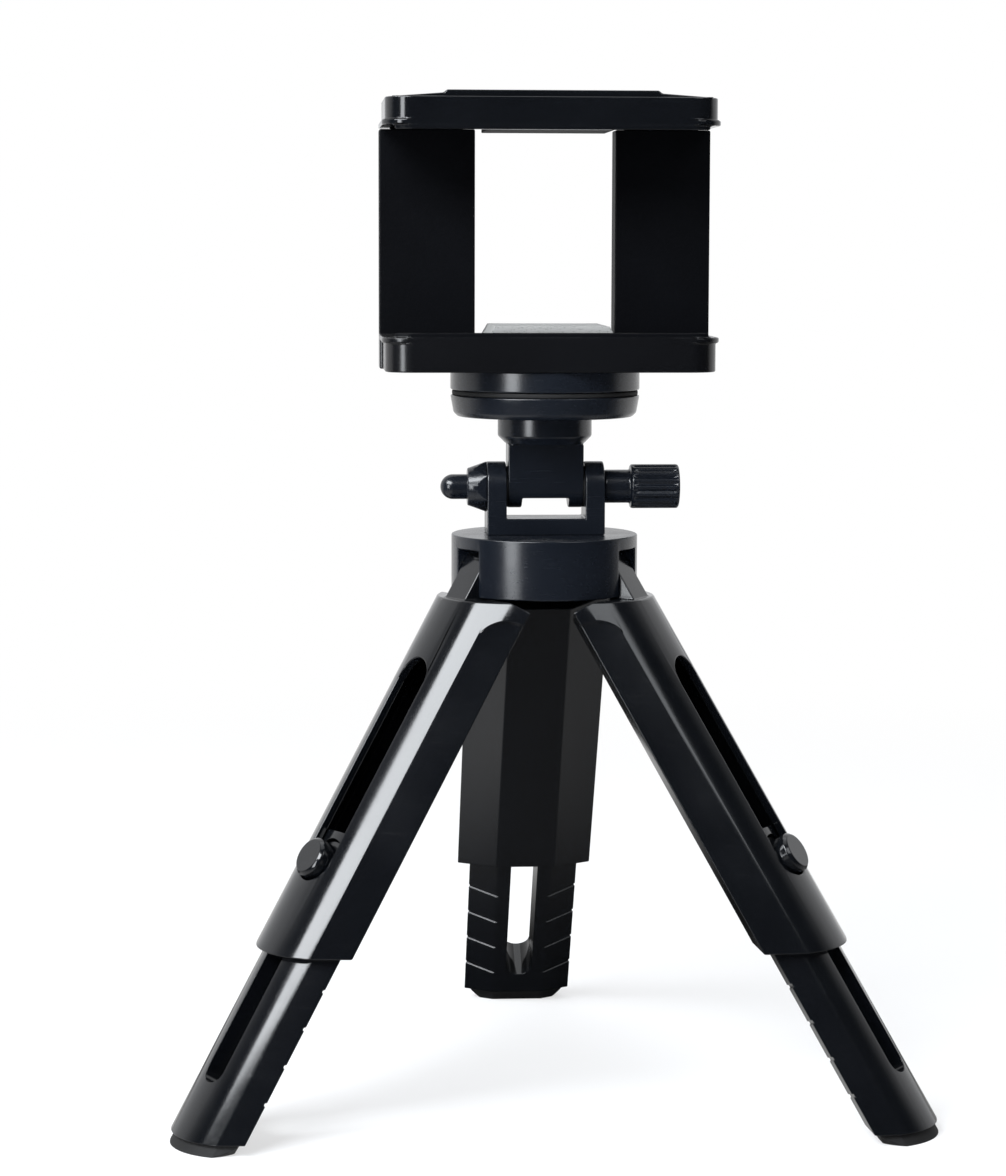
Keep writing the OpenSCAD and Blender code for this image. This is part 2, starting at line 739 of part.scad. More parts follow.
module fork_screw_bolt() {
    seat = hub_z + hinge_rise + fork_screw_head_height;
    color(steel) on_axis(seat)
        screw(fork_screw, bridge_z - fork_screw_cover - seat, fork_screw_head, fork_screw_head_height);
}

module tilt_fork() {
    color(plastic) on_axis(tilt_z)
        difference() {
            union() {
                for (x = [-ear_outside, fork_gap * half])
                    translate([x, 0, 0]) along_x(ear_thickness) lug_outline(ear_radius, -tilt_rise);
                translate([-ear_outside, -ear_radius, -tilt_rise])
                    cube([2 * ear_outside, 2 * ear_radius, bridge_height]);
                translate([0, 0, -tilt_rise - fork_peg_depth])
                    cylinder(d = fork_peg, h = fork_peg_depth + bridge_height);
            }
            rod_x(bolt_diameter + 2 * running_fit, 2 * ear_outside + 2 * eps);
            translate([-ear_outside + nut_key_depth, 0, 0])
                rotate([0, -90, 0]) hexagon(nut_key + 2 * seat_fit, nut_key_depth + eps);
            translate([0, 0, -tilt_rise - fork_peg_depth - eps])
                cylinder(d = fork_screw + 2 * seat_fit,
                    h = fork_peg_depth + bridge_height - fork_screw_cover + seat_fit + eps);
        }
}

module tilt_cap_nut() {
    radius = dome_diameter * half;
    color(dark) on_axis(tilt_z) translate([-ear_outside, 0, 0]) rotate([0, -90, 0])
        difference() {
            union() {
                translate([0, 0, -nut_key_depth]) hexagon(nut_key, nut_key_depth + eps);
                intersection() {
                    cylinder(d = nut_corners, h = nut_thickness, $fn = 6);
                    cylinder(r1 = nut_corners * half + eps, r2 = nut_taper_end, h = nut_thickness);
                }
                rotate_extrude() {
                    square([radius, nut_thickness + dome_length - radius]);
                    translate([0, nut_thickness + dome_length - radius])
                        intersection() {
                            circle(r = radius);
                            square(radius);
                        }
                }
            }
            translate([0, 0, -nut_key_depth - eps])
                cylinder(d = bolt_diameter + 2 * running_fit,
                    h = nut_key_depth + nut_thickness + bolt_in_dome + running_fit + eps);
        }
}

module tilt_bolt() {
    start = -ear_outside - nut_thickness - bolt_in_dome;
    color(steel) on_axis(tilt_z)
        translate([start, 0, 0]) rotate([0, 90, 0])
            cylinder(d = bolt_diameter, h = ear_outside + knob_gap + bolt_in_knob - start);
}

module thumb_knob() {
    neck = neck_diameter * half;
    radius = knob_diameter * half;
    end = neck_length + knob_length;
    color(plastic) on_axis(tilt_z) translate([ear_outside + knob_gap, 0, 0]) rotate([0, 90, 0])
        difference() {
            rotate_extrude()
                polygon([[0, 0], [neck, 0], [neck, neck_length], [radius - knob_round * half, neck_length],
                    [radius, neck_length + knob_round * half], [radius, end - knob_round],
                    [radius - knob_round, end], [0, end]]);
            translate([0, 0, -eps])
                cylinder(d = bolt_diameter + 2 * seat_fit, h = bolt_in_knob + seat_fit + eps);
        }
}

module tilt_knuckle() {
    color(plastic) on_axis(tilt_z)
        difference() {
            union() {
                translate([-knuckle_width * half, 0, 0])
                    along_x(knuckle_width) lug_outline(prong_radius, knuckle_rise);
                translate([0, 0, knuckle_rise])
                    rotate_extrude()
                        polygon([[0, 0], [collar_radius - collar_chamfer, 0], [collar_radius, collar_chamfer],
                            [collar_radius, collar_height], [0, collar_height]]);
            }
            translate([-prong_gap * half, -prong_radius, -prong_web - prong_radius])
                cube([prong_gap, 2 * prong_radius, prong_radius]);
            rod_x(bolt_diameter + 2 * running_fit, knuckle_width + 2 * eps);
            translate([0, 0, knuckle_rise + collar_height - stud_key_height])
                hexagon(stud_key + 2 * seat_fit, stud_key_height + eps);
        }
}

module tilt_washers() {
    color(grey) on_axis(tilt_z)
        for (side = [-1, 1])
            translate([side * (fork_gap + knuckle_width) * half * half, 0, 0])
                difference() {
                    rod_x(washer_diameter, washer_thickness);
                    rod_x(bolt_diameter + 2 * running_fit, washer_thickness + 2 * eps);
                }
}

module pan_stud() {
    color(steel) on_axis(base_ring_z) {
        translate([0, 0, -stud_key_height]) hexagon(stud_key, stud_key_height);
        cylinder(d = stud_diameter, h = stud_end - base_ring_z);
    }
}

module turntable_base() {
    inside = stud_diameter * half + seat_fit;
    under = ring_radius - base_ring_taper;
    color(plastic) on_axis(base_ring_z)
        rotate_extrude()
            polygon([[inside, 0], [under - base_ring_chamfer, 0], [under, base_ring_chamfer],
                [ring_radius, base_ring_height], [inside, base_ring_height]]);
}

module friction_ring() {
    outside = ring_radius - friction_step;
    color(dark) on_axis(friction_z)
        difference() {
            cylinder(r = outside, h = friction_height);
            translate([0, 0, -eps]) cylinder(r = outside - friction_width, h = friction_height + 2 * eps);
        }
}

// Places the two screws of the turntable's upper ring.
module ring_screw_places() {
    for (side = [-1, 1]) translate([side * ring_screw_reach, 0, 0]) children();
}

module turntable_top() {
    color(plastic) on_axis(top_ring_z)
        difference() {
            cylinder(r = ring_radius, h = top_ring_height);
            translate([0, 0, -eps]) {
                cylinder(d = stud_diameter + 2 * slide_gap, h = top_ring_height + 2 * eps);
                ring_screw_places() {
                    cylinder(d = small_screw + 2 * seat_fit, h = top_ring_height + 2 * eps);
                    cylinder(d = small_head + 2 * seat_fit, h = small_head_height + eps);
                }
            }
        }
}

module turntable_screws() {
    color(steel) on_axis(top_ring_z + small_head_height)
        ring_screw_places() screw(small_screw, ring_screw_length, small_head, small_head_height);
}

module insert_nut() {
    color(brass) on_axis(clamp_z)
        difference() {
            hexagon(insert_key, insert_height);
            translate([0, 0, -eps])
                cylinder(d = stud_diameter + 2 * running_fit, h = insert_height + 2 * eps);
        }
}

// Plan of a jaw, round at its front corners, with its sides moved out.
module jaw_plan(overhang) {
    side = jaw_half + overhang;
    translate([-side, jaw_corner - jaw_front]) square([2 * side, jaw_front - jaw_corner + jaw_back]);
    translate([jaw_corner - side, -jaw_front]) square([2 * (side - jaw_corner), jaw_corner]);
    for (turn = [0, 1])
        mirror([turn, 0])
            translate([side - jaw_corner, jaw_corner - jaw_front])
                intersection() {
                    circle(r = jaw_corner);
                    translate([0, -jaw_corner]) square(jaw_corner);
                }
}

// The lip along the front of a jaw.
module jaw_lip() {
    linear_extrude(lip_height)
        intersection() {
            jaw_plan(0);
            translate([-clamp_width, -jaw_front]) square([2 * clamp_width, lip_depth]);
        }
}

// Places what belongs to each column, left then right.
module columns() {
    for (side = [-1, 1]) translate([side * column_x, 0, 0]) children();
}

module clamp_frame() {
    color(plastic) on_axis(0)
        difference() {
            union() {
                translate([0, 0, clamp_z]) linear_extrude(lower_jaw_height) jaw_plan(0);
                translate([0, 0, lower_jaw_z - rim_thickness])
                    linear_extrude(rim_thickness) jaw_plan(rim_overhang);
                translate([0, 0, lower_jaw_z]) jaw_lip();
                columns()
                    translate([-column_width * half, column_front, clamp_z])
                        cube([column_width, column_depth, column_top - clamp_z]);
            }
            columns() {
                translate([-cavity_width * half, cavity_front, cavity_z])
                    cube([cavity_width, jaw_back - cavity_front + eps, column_top - cavity_z + eps]);
                translate([-cover_width * half - seat_fit, cover_front - seat_fit, lower_jaw_z])
                    cube([cover_width + 2 * seat_fit, cover_thickness + seat_fit + eps,
                        column_top - lower_jaw_z + eps]);
                translate([0, slide_middle, lower_pin_z])
                    rod_x(spring_pin + 2 * seat_fit, cavity_width + 2 * (spring_pin_seat + seat_fit));
                cover_screw_places()
                    rod_y(cover_screw + 2 * seat_fit, cover_front - cover_screw_length, jaw_back);
            }
            translate([0, 0, clamp_z - eps])
                hexagon(insert_key + 2 * seat_fit, insert_height + seat_fit + eps);
            translate([0, 0, top_ring_z + small_head_height])
                ring_screw_places()
                    cylinder(d = small_screw + 2 * seat_fit, h = ring_screw_length + seat_fit);
        }
}

// Places the two screws of a column's cover.
module cover_screw_places() {
    for (side = [-1, 1])
        translate([side * cover_screw_reach, 0, lower_jaw_z + cover_screw_rise]) children();
}

module column_cover(side) {
    color(plastic) on_axis(0) translate([side * column_x, 0, 0])
        difference() {
            translate([-cover_width * half, cover_front, lower_jaw_z])
                cube([cover_width, cover_thickness, column_top - lower_jaw_z]);
            cover_screw_places() {
                rod_y(cover_screw + 2 * seat_fit, cover_front - eps, jaw_back + eps);
                rod_y(cover_head + 2 * seat_fit, jaw_back - cover_head_height - seat_fit, jaw_back + eps);
            }
        }
}

module cover_screws() {
    color(steel) on_axis(0)
        columns()
            cover_screw_places() {
                rod_y(cover_screw, cover_front - cover_screw_length + seat_fit, jaw_back);
                rod_y(cover_head, jaw_back - cover_head_height, jaw_back);
            }
}

module lower_jaw_pad() {
    side = pad_width * half;
    color(grey) on_axis(lower_jaw_z)
        translate([0, pad_front + pad_depth, 0])
            rotate([90, 0, 0])
                linear_extrude(pad_depth)
                    polygon([[-side, 0], [side, 0], [side - pad_bevel, lower_pad],
                        [pad_bevel - side, lower_pad]]);
}

module clamp_spring(side) {
    color(steel) on_axis(clamp_spring_z)
        translate([side * column_x, slide_middle, 0])
            coil_spring(clamp_spring_diameter, clamp_spring_wire, clamp_spring_turns, clamp_spring_length);
}

module lower_spring_pins() {
    color(steel) on_axis(lower_pin_z)
        columns() translate([0, slide_middle, 0]) rod_x(spring_pin, cavity_width + 2 * spring_pin_seat);
}

module upper_spring_pins() {
    color(steel) on_axis(upper_pin_z)
        columns() translate([0, slide_middle, 0]) rod_x(spring_pin, channel_width + 2 * spring_pin_seat);
}

module upper_jaw() {
    side = crown_width * half;
    middle = crown_flat * half;
    rise = crown_height - crown_shoulder;
    color(plastic) on_axis(upper_jaw_z)
        difference() {
            union() {
                linear_extrude(upper_jaw_height) jaw_plan(0);
                linear_extrude(rim_thickness) jaw_plan(rim_overhang);
                translate([0, 0, -lip_height]) jaw_lip();
                translate([0, jaw_back, upper_jaw_height])
                    rotate([90, 0, 0])
                        linear_extrude(crown_depth)
                            polygon([[-side, 0], [side, 0], [middle + rise, crown_shoulder],
                                [middle, crown_height], [-middle, crown_height],
                                [-middle - rise, crown_shoulder]]);
                columns()
                    translate([-slide_width * half, slide_front, -slide_length])
                        cube([slide_width, slide_depth, slide_length + eps]);
            }
            columns() {
                translate([-channel_width * half, slide_front - eps, -slide_length - eps])
                    cube([channel_width, slide_depth + 2 * eps, slide_length - channel_cover]);
                translate([0, slide_middle, -upper_pin_drop])
                    rod_x(spring_pin + 2 * seat_fit, channel_width + 2 * (spring_pin_seat + seat_fit));
            }
        }
}

module upper_jaw_pad() {
    color(dark) on_axis(upper_jaw_z - upper_pad)
        translate([-pad_width * half, pad_front, 0]) cube([pad_width, pad_depth, upper_pad]);
}

hub_body();
hub_base_plate();
base_plate_screws();
fork_screw_bolt();
tilt_fork();
tilt_cap_nut();
tilt_bolt();
thumb_knob();
tilt_knuckle();
tilt_washers();
pan_stud();
turntable_base();
friction_ring();
turntable_top();
turntable_screws();
insert_nut();
clamp_frame();
lower_jaw_pad();
column_cover(-1);  // column_cover_left
column_cover(1);  // column_cover_right
cover_screws();
clamp_spring(-1);  // clamp_spring_left
clamp_spring(1);  // clamp_spring_right
lower_spring_pins();
upper_jaw();
upper_jaw_pad();
upper_spring_pins();
leg_pin(0);  // leg_pin_back
leg_pin(1);  // leg_pin_left
leg_pin(2);  // leg_pin_right
leg_outer(0);  // leg_outer_back
leg_outer(1);  // leg_outer_left
leg_outer(2);  // leg_outer_right
leg_inner(0);  // leg_inner_back
leg_inner(1);  // leg_inner_left
leg_inner(2);  // leg_inner_right
leg_button(0);  // leg_button_back
leg_button(1);  // leg_button_left
leg_button(2);  // leg_button_right
button_spring(0);  // button_spring_back
button_spring(1);  // button_spring_left
button_spring(2);  // button_spring_right
foot_pad(0);  // foot_pad_back
foot_pad(1);  // foot_pad_left
foot_pad(2);  // foot_pad_right
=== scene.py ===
import json
import math

import bmesh
import bpy
from bpy.props import FloatProperty, FloatVectorProperty, IntProperty, PointerProperty
from mathutils import Matrix, Vector
from mathutils.bvhtree import BVHTree
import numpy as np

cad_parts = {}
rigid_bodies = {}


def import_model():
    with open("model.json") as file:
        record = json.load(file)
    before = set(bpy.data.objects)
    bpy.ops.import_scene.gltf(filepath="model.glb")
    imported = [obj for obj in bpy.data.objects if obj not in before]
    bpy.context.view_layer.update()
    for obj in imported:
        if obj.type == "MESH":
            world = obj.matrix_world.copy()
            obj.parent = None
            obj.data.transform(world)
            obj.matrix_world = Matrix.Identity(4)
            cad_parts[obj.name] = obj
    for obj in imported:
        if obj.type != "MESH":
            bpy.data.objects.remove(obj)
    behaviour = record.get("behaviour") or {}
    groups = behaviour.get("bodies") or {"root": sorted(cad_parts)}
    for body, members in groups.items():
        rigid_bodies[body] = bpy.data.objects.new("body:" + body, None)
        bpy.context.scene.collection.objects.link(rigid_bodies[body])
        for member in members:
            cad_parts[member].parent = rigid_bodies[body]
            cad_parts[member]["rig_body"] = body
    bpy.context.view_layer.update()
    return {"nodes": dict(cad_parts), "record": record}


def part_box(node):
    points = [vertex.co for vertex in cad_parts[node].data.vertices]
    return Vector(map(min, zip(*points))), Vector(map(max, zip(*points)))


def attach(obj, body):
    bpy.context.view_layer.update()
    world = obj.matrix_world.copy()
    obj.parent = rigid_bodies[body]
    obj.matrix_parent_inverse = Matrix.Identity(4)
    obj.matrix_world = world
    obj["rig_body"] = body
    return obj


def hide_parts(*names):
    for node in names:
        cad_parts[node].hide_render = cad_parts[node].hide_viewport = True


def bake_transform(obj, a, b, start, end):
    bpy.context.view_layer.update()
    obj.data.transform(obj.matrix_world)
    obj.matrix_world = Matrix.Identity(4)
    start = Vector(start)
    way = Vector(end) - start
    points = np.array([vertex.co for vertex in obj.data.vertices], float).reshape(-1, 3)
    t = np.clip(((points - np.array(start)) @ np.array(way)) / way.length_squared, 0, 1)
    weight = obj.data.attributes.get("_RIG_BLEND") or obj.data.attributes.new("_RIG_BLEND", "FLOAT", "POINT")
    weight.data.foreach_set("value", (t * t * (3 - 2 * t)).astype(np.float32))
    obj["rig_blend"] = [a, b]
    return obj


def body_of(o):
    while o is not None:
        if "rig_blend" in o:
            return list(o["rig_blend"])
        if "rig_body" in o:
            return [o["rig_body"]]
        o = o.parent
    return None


bl_info = {
    "name": "Table Tripod With Phone Clamp",
    "version": (1, 0, 0),
    "blender": (4, 5, 0),
    "location": "3D View > Sidebar > Tripod",
    "description": "Finishes a small folding tripod with a pan and tilt head and a spring phone clamp",
    "category": "Object",
}

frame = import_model()
NODES = frame["nodes"]
SLOTS = {entry["node"]: entry["material_slot"] for entry in frame["record"]["subparts"]}
MM = 0.001
LEGS = ("back", "left", "right")
HUB_LOW, HUB_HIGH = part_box("hub_body")
AXIS_Y = (HUB_LOW.y + HUB_HIGH.y) / 2

# Limits of the mesh work
JOIN_DISTANCE = 0.002 * MM
FLAT_ANGLE = math.radians(0.4)
ROUNDED_ANGLE = math.radians(24.0)
CREASE_ANGLE = math.radians(40.0)
ROUNDING_SEGMENTS = 2
STRAY_SHARE = 0.6
CORNER_STEPS = 4

# Colours that no setting changes
WHITE = (1.0, 1.0, 1.0, 1.0)
COOL_WHITE = (0.97, 0.98, 1.0, 1.0)
LAMP_COLOUR = (0.93, 0.965, 1.0)
DUST_COLOUR = (0.42, 0.40, 0.37)
FOAM_DUST_COLOUR = (0.5, 0.48, 0.45)


# Settings


class TripodFinish(bpy.types.PropertyGroup):
    """Colours of the tripod's finishes, in linear light."""

    satin_colour: FloatVectorProperty(
        name="Satin plastic", description="Colour of the hub, tilt head and turntable",
        subtype="COLOR", min=0.0, max=1.0, default=(0.0034, 0.0046, 0.0072))
    gloss_colour: FloatVectorProperty(
        name="Gloss plastic", description="Colour of the polished legs and upper jaw",
        subtype="COLOR", min=0.0, max=1.0, default=(0.0021, 0.0025, 0.0033))
    matte_colour: FloatVectorProperty(
        name="Matte plastic", description="Colour of the clamp's frame and column covers",
        subtype="COLOR", min=0.0, max=1.0, default=(0.0008, 0.0010, 0.0017))
    rubber_colour: FloatVectorProperty(
        name="Black rubber", description="Colour of the feet, washers, friction ring and upper pad",
        subtype="COLOR", min=0.0, max=1.0, default=(0.0050, 0.0050, 0.0053))
    foam_colour: FloatVectorProperty(
        name="Grey foam rubber", description="Colour of the pad on the lower jaw",
        subtype="COLOR", min=0.0, max=1.0, default=(0.21, 0.21, 0.205))
    steel_colour: FloatVectorProperty(
        name="Steel", description="Colour of the pins, screws and springs",
        subtype="COLOR", min=0.0, max=1.0, default=(0.55, 0.55, 0.56))
    brass_colour: FloatVectorProperty(
        name="Brass", description="Colour of the threaded insert",
        subtype="COLOR", min=0.0, max=1.0, default=(0.72, 0.52, 0.20))


class TripodDetail(bpy.types.PropertyGroup):
    """Sizes of the details that finish the solids."""

    edge_round: FloatProperty(
        name="Edge rounding", description="Radius on the edges of the large mouldings",
        unit="LENGTH", min=0.0, default=0.35 * MM)
    small_round: FloatProperty(
        name="Small edge rounding", description="Radius on the edges of the small pieces",
        unit="LENGTH", min=0.0, default=0.18 * MM)
    knob_flutes: IntProperty(
        name="Knob flutes", description="Number of finger grooves round the thumb knob",
        min=6, max=40, default=18)
    flute_depth: FloatProperty(
        name="Flute depth", description="Depth of a finger groove of the thumb knob",
        unit="LENGTH", min=0.0, default=0.55 * MM)
    cross_width: FloatProperty(
        name="Cross recess width", description="Width of the arms of a screw's cross recess",
        unit="LENGTH", min=0.0, default=0.5 * MM)


class TripodStage(bpy.types.PropertyGroup):
    """Light, floor and camera of the studio."""

    key_power: FloatProperty(
        name="Key light", description="Power of the wide soft box at the upper front left",
        unit="POWER", min=0.0, default=25.0)
    fill_power: FloatProperty(
        name="Fill light", description="Power of the soft box at the front right",
        unit="POWER", min=0.0, default=3.0)
    card_power: FloatProperty(
        name="Side card", description="Power of the low white card at the front left",
        unit="POWER", min=0.0, default=4.6)
    top_power: FloatProperty(
        name="Top light", description="Power of the wide light overhead",
        unit="POWER", min=0.0, default=5.0)
    ambient: FloatProperty(
        name="Ambient", description="Strength of the light from all round",
        min=0.0, max=1.0, default=0.36)
    room: FloatProperty(
        name="Room", description="Brightness of the room in front of the backdrop, as gloss shows it",
        min=0.0, max=1.0, default=0.03)
    floor_colour: FloatVectorProperty(
        name="Floor", description="Colour of the studio floor",
        subtype="COLOR", min=0.0, max=1.0, default=(0.90, 0.905, 0.92))
    camera_distance: FloatProperty(
        name="Camera distance", description="Distance of the camera from the tripod's axis",
        unit="LENGTH", min=0.1, default=0.7810)
    camera_height: FloatProperty(
        name="Camera height", description="Height of the camera over the floor",
        unit="LENGTH", min=0.0, default=0.2129)
    camera_lens: FloatProperty(
        name="Focal length", description="Focal length for a sensor 24 mm high, in millimetres",
        min=10.0, default=64.03)
    camera_turn: FloatProperty(
        name="Camera turn", description="Angle of the camera round the axis, positive to the front right",
        subtype="ANGLE", default=math.radians(-4.57))
    camera_yaw: FloatProperty(
        name="Camera yaw", description="Angle that the camera looks to the left of the axis",
        subtype="ANGLE", default=math.radians(0.754))
    camera_pitch: FloatProperty(
        name="Camera pitch", description="Angle that the camera looks down by",
        subtype="ANGLE", default=math.radians(6.24))
    camera_roll: FloatProperty(
        name="Camera roll", description="Turn of the camera about its own line of sight",
        subtype="ANGLE", default=math.radians(0.142))


# Node helpers

FLOAT = "NodeSocketFloat"
VECTOR = "NodeSocketVector"
GEOMETRY = "NodeSocketGeometry"
MATERIAL = "NodeSocketMaterial"


def add_node(tree, kind, values=None, **settings):
    """A node of that kind, with its settings and the values of its unlinked inputs."""
    node = tree.nodes.new(kind)
    for name, value in settings.items():
        setattr(node, name, value)
    for key, value in (values or {}).items():
        node.inputs[key].default_value = value
    return node


def join(tree, source, target):
    """Links one socket to another."""
    tree.links.new(source, target)


def calc(tree, operation, first, second=None, third=None, clamp=False):
    """A Math node over sockets or plain numbers; returns its output."""
    node = add_node(tree, "ShaderNodeMath", operation=operation, use_clamp=clamp)
    for index, value in enumerate((first, second, third)):
        if value is None:
            continue
        if isinstance(value, (int, float)):
            node.inputs[index].default_value = value
        else:
            join(tree, value, node.inputs[index])
    return node.outputs[0]


def vector_calc(tree, operation, first, second=None):
    """A Vector Math node over sockets or plain vectors; returns the node."""
    node = add_node(tree, "ShaderNodeVectorMath", operation=operation)
    join(tree, first, node.inputs[0])
    if isinstance(second, tuple):
        node.inputs[1].default_value = second
    elif second is not None:
        join(tree, second, node.inputs[1])
    return node


def split(tree, vector):
    """The X, Y and Z parts of a vector; returns the outputs, found by name."""
    node = add_node(tree, "ShaderNodeSeparateXYZ")
    join(tree, vector, node.inputs[0])
    return node.outputs


def ramp(tree, value, low, high, to_low=0.0, to_high=1.0, smooth=True):
    """A value mapped from one range to another, held at the ends; returns the output."""
    node = add_node(tree, "ShaderNodeMapRange", clamp=True,
                    interpolation_type="SMOOTHSTEP" if smooth else "LINEAR")
    join(tree, value, node.inputs["Value"])
    for name, number in (("From Min", low), ("From Max", high), ("To Min", to_low), ("To Max", to_high)):
        node.inputs[name].default_value = number
    return node.outputs["Result"]


def tint(tree, factor, first, second):
    """A colour mix of two sockets or plain colours; returns the output."""
    node = add_node(tree, "ShaderNodeMix", data_type="RGBA")
    join(tree, factor, node.inputs[0])
    for socket, value in ((node.inputs[6], first), (node.inputs[7], second)):
        if isinstance(value, tuple):
            socket.default_value = (*value, 1.0)
        else:
            join(tree, value, socket)
    return node.outputs[2]


def mix_shader(tree, share, first, second):
    """A mix of two shaders, with that share of the second; returns the output."""
    node = add_node(tree, "ShaderNodeMixShader")
    for key, source in (("Fac", share), (1, first), (2, second)):
        join(tree, source, node.inputs[key])
    return node.outputs[0]


def add_texture(tree, kind, place, values=None, **settings):
    """A texture node laid over a place; returns the node."""
    node = add_node(tree, kind, values, **settings)
    join(tree, place, node.inputs["Vector"])
    return node


def new_group(name, kind, inputs, outputs):
    """A node group with named sockets; returns the tree, its input node and its output node."""
    tree = bpy.data.node_groups.new(name, kind)
    for label, socket, default in inputs:
        made = tree.interface.new_socket(label, in_out="INPUT", socket_type=socket)
        if default is not None:
            made.default_value = default
    for label, socket in outputs:
        tree.interface.new_socket(label, in_out="OUTPUT", socket_type=socket)
    return tree, tree.nodes.new("NodeGroupInput"), tree.nodes.new("NodeGroupOutput")


# Shared surface effects


def make_moulded_grain():
    """Fine texture of a moulding tool: a height, and a slow drift of tone."""
    tree, given, out = new_group(
        "moulded_grain", "ShaderNodeTree",
        (("Vector", VECTOR, None), ("Grain Scale", FLOAT, 2200.0)),
        (("Height", FLOAT), ("Tone", FLOAT)))
    place = given.outputs["Vector"]
    fine = add_texture(tree, "ShaderNodeTexNoise", place, {"Detail": 3.0, "Roughness": 0.62})
    join(tree, given.outputs["Grain Scale"], fine.inputs["Scale"])
    pits = add_texture(tree, "ShaderNodeTexVoronoi", place, feature="SMOOTH_F1")
    join(tree, calc(tree, "MULTIPLY", given.outputs["Grain Scale"], 0.6), pits.inputs["Scale"])
    height = calc(tree, "MULTIPLY_ADD", pits.outputs["Distance"], 0.4, fine.outputs["Fac"])
    join(tree, height, out.inputs["Height"])
    slow = add_texture(tree, "ShaderNodeTexNoise", place, {"Scale": 38.0, "Detail": 4.0, "Roughness": 0.55})
    join(tree, ramp(tree, slow.outputs["Fac"], 0.3, 0.7), out.inputs["Tone"])
    return tree


def make_edge_rub():
    """Mask of the edges that handling has polished, broken up by noise."""
    tree, given, out = new_group(
        "edge_rub", "ShaderNodeTree",
        (("Vector", VECTOR, None), ("Reach", FLOAT, 0.5 * MM)),
        (("Mask", FLOAT),))
    rounding = add_node(tree, "ShaderNodeBevel", samples=4)
    join(tree, given.outputs["Reach"], rounding.inputs["Radius"])
    surface = add_node(tree, "ShaderNodeNewGeometry")
    facing = vector_calc(tree, "DOT_PRODUCT", rounding.outputs["Normal"], surface.outputs["Normal"])
    edge = ramp(tree, facing.outputs["Value"], 0.995, 0.90)
    patch = add_texture(tree, "ShaderNodeTexNoise", given.outputs["Vector"],
                        {"Scale": 210.0, "Detail": 5.0, "Roughness": 0.6})
    worn = ramp(tree, patch.outputs["Fac"], 0.35, 0.68)
    join(tree, calc(tree, "MULTIPLY", edge, worn), out.inputs["Mask"])
    return tree


def make_settled_dust():
    """Mask of the specks and film that settle on faces that look up."""
    tree, given, out = new_group(
        "settled_dust", "ShaderNodeTree",
        (("Vector", VECTOR, None), ("Speck Scale", FLOAT, 900.0)),
        (("Mask", FLOAT),))
    facing = add_node(tree, "ShaderNodeTexCoord").outputs["Normal"]
    level = ramp(tree, split(tree, facing)["Z"], 0.35, 0.98)
    film = add_texture(tree, "ShaderNodeTexNoise", given.outputs["Vector"],
                       {"Scale": 130.0, "Detail": 6.0, "Roughness": 0.65})
    specks = add_texture(tree, "ShaderNodeTexVoronoi", given.outputs["Vector"], feature="F1")
    join(tree, given.outputs["Speck Scale"], specks.inputs["Scale"])
    dots = ramp(tree, specks.outputs["Distance"], 0.16, 0.05)
    soft = ramp(tree, film.outputs["Fac"], 0.35, 0.8)
    both = calc(tree, "MULTIPLY_ADD", dots, 0.5, calc(tree, "MULTIPLY", soft, 0.6), clamp=True)
    join(tree, calc(tree, "MULTIPLY", both, level), out.inputs["Mask"])
    return tree


def make_fine_scratches():
    """Hairline rubs in two directions, for the gloss of handled plastic and metal."""
    tree, given, out = new_group(
        "fine_scratches", "ShaderNodeTree",
        (("Vector", VECTOR, None), ("Line Scale", FLOAT, 60.0)),
        (("Mask", FLOAT),))
    lines = []
    for turn in ((0.3, 0.5, 0.2), (1.1, -0.4, 1.9)):
        turned = add_node(tree, "ShaderNodeMapping", {"Rotation": turn, "Scale": (1.0, 34.0, 34.0)})
        join(tree, given.outputs["Vector"], turned.inputs["Vector"])
        noise = add_texture(tree, "ShaderNodeTexNoise", turned.outputs["Vector"],
                            {"Detail": 2.0, "Roughness": 0.5})
        join(tree, given.outputs["Line Scale"], noise.inputs["Scale"])
        lines.append(ramp(tree, noise.outputs["Fac"], 0.62, 0.74))
    join(tree, calc(tree, "MAXIMUM", lines[0], lines[1]), out.inputs["Mask"])
    return tree


# Finishes


def new_material(name):
    """An empty node material with its Principled shader; returns material, tree, shader and place."""
    material = bpy.data.materials.new(name)
    material.use_nodes = True
    tree = material.node_tree
    shader = next(node for node in tree.nodes if node.type == "BSDF_PRINCIPLED")
    place = add_node(tree, "ShaderNodeTexCoord")
    return material, tree, shader, place.outputs["Object"]


def use_group(tree, group, place, **values):
    """A shared effect placed in a material, with its own values."""
    node = add_node(tree, "ShaderNodeGroup", node_tree=group)
    join(tree, place, node.inputs["Vector"])
    for label, value in values.items():
        node.inputs[label.replace("_", " ")].default_value = value
    return node


def scaled(colour, share):
    """A colour made lighter or darker, no part of it past full."""
    return tuple(min(1.0, share * part) for part in colour)


def add_relief(tree, shader, height, strength, depth):
    """Bumps a shader's surface by a height."""
    bump = add_node(tree, "ShaderNodeBump", {"Strength": strength, "Distance": depth})
    join(tree, height, bump.inputs["Height"])
    join(tree, bump.outputs["Normal"], shader.inputs["Normal"])


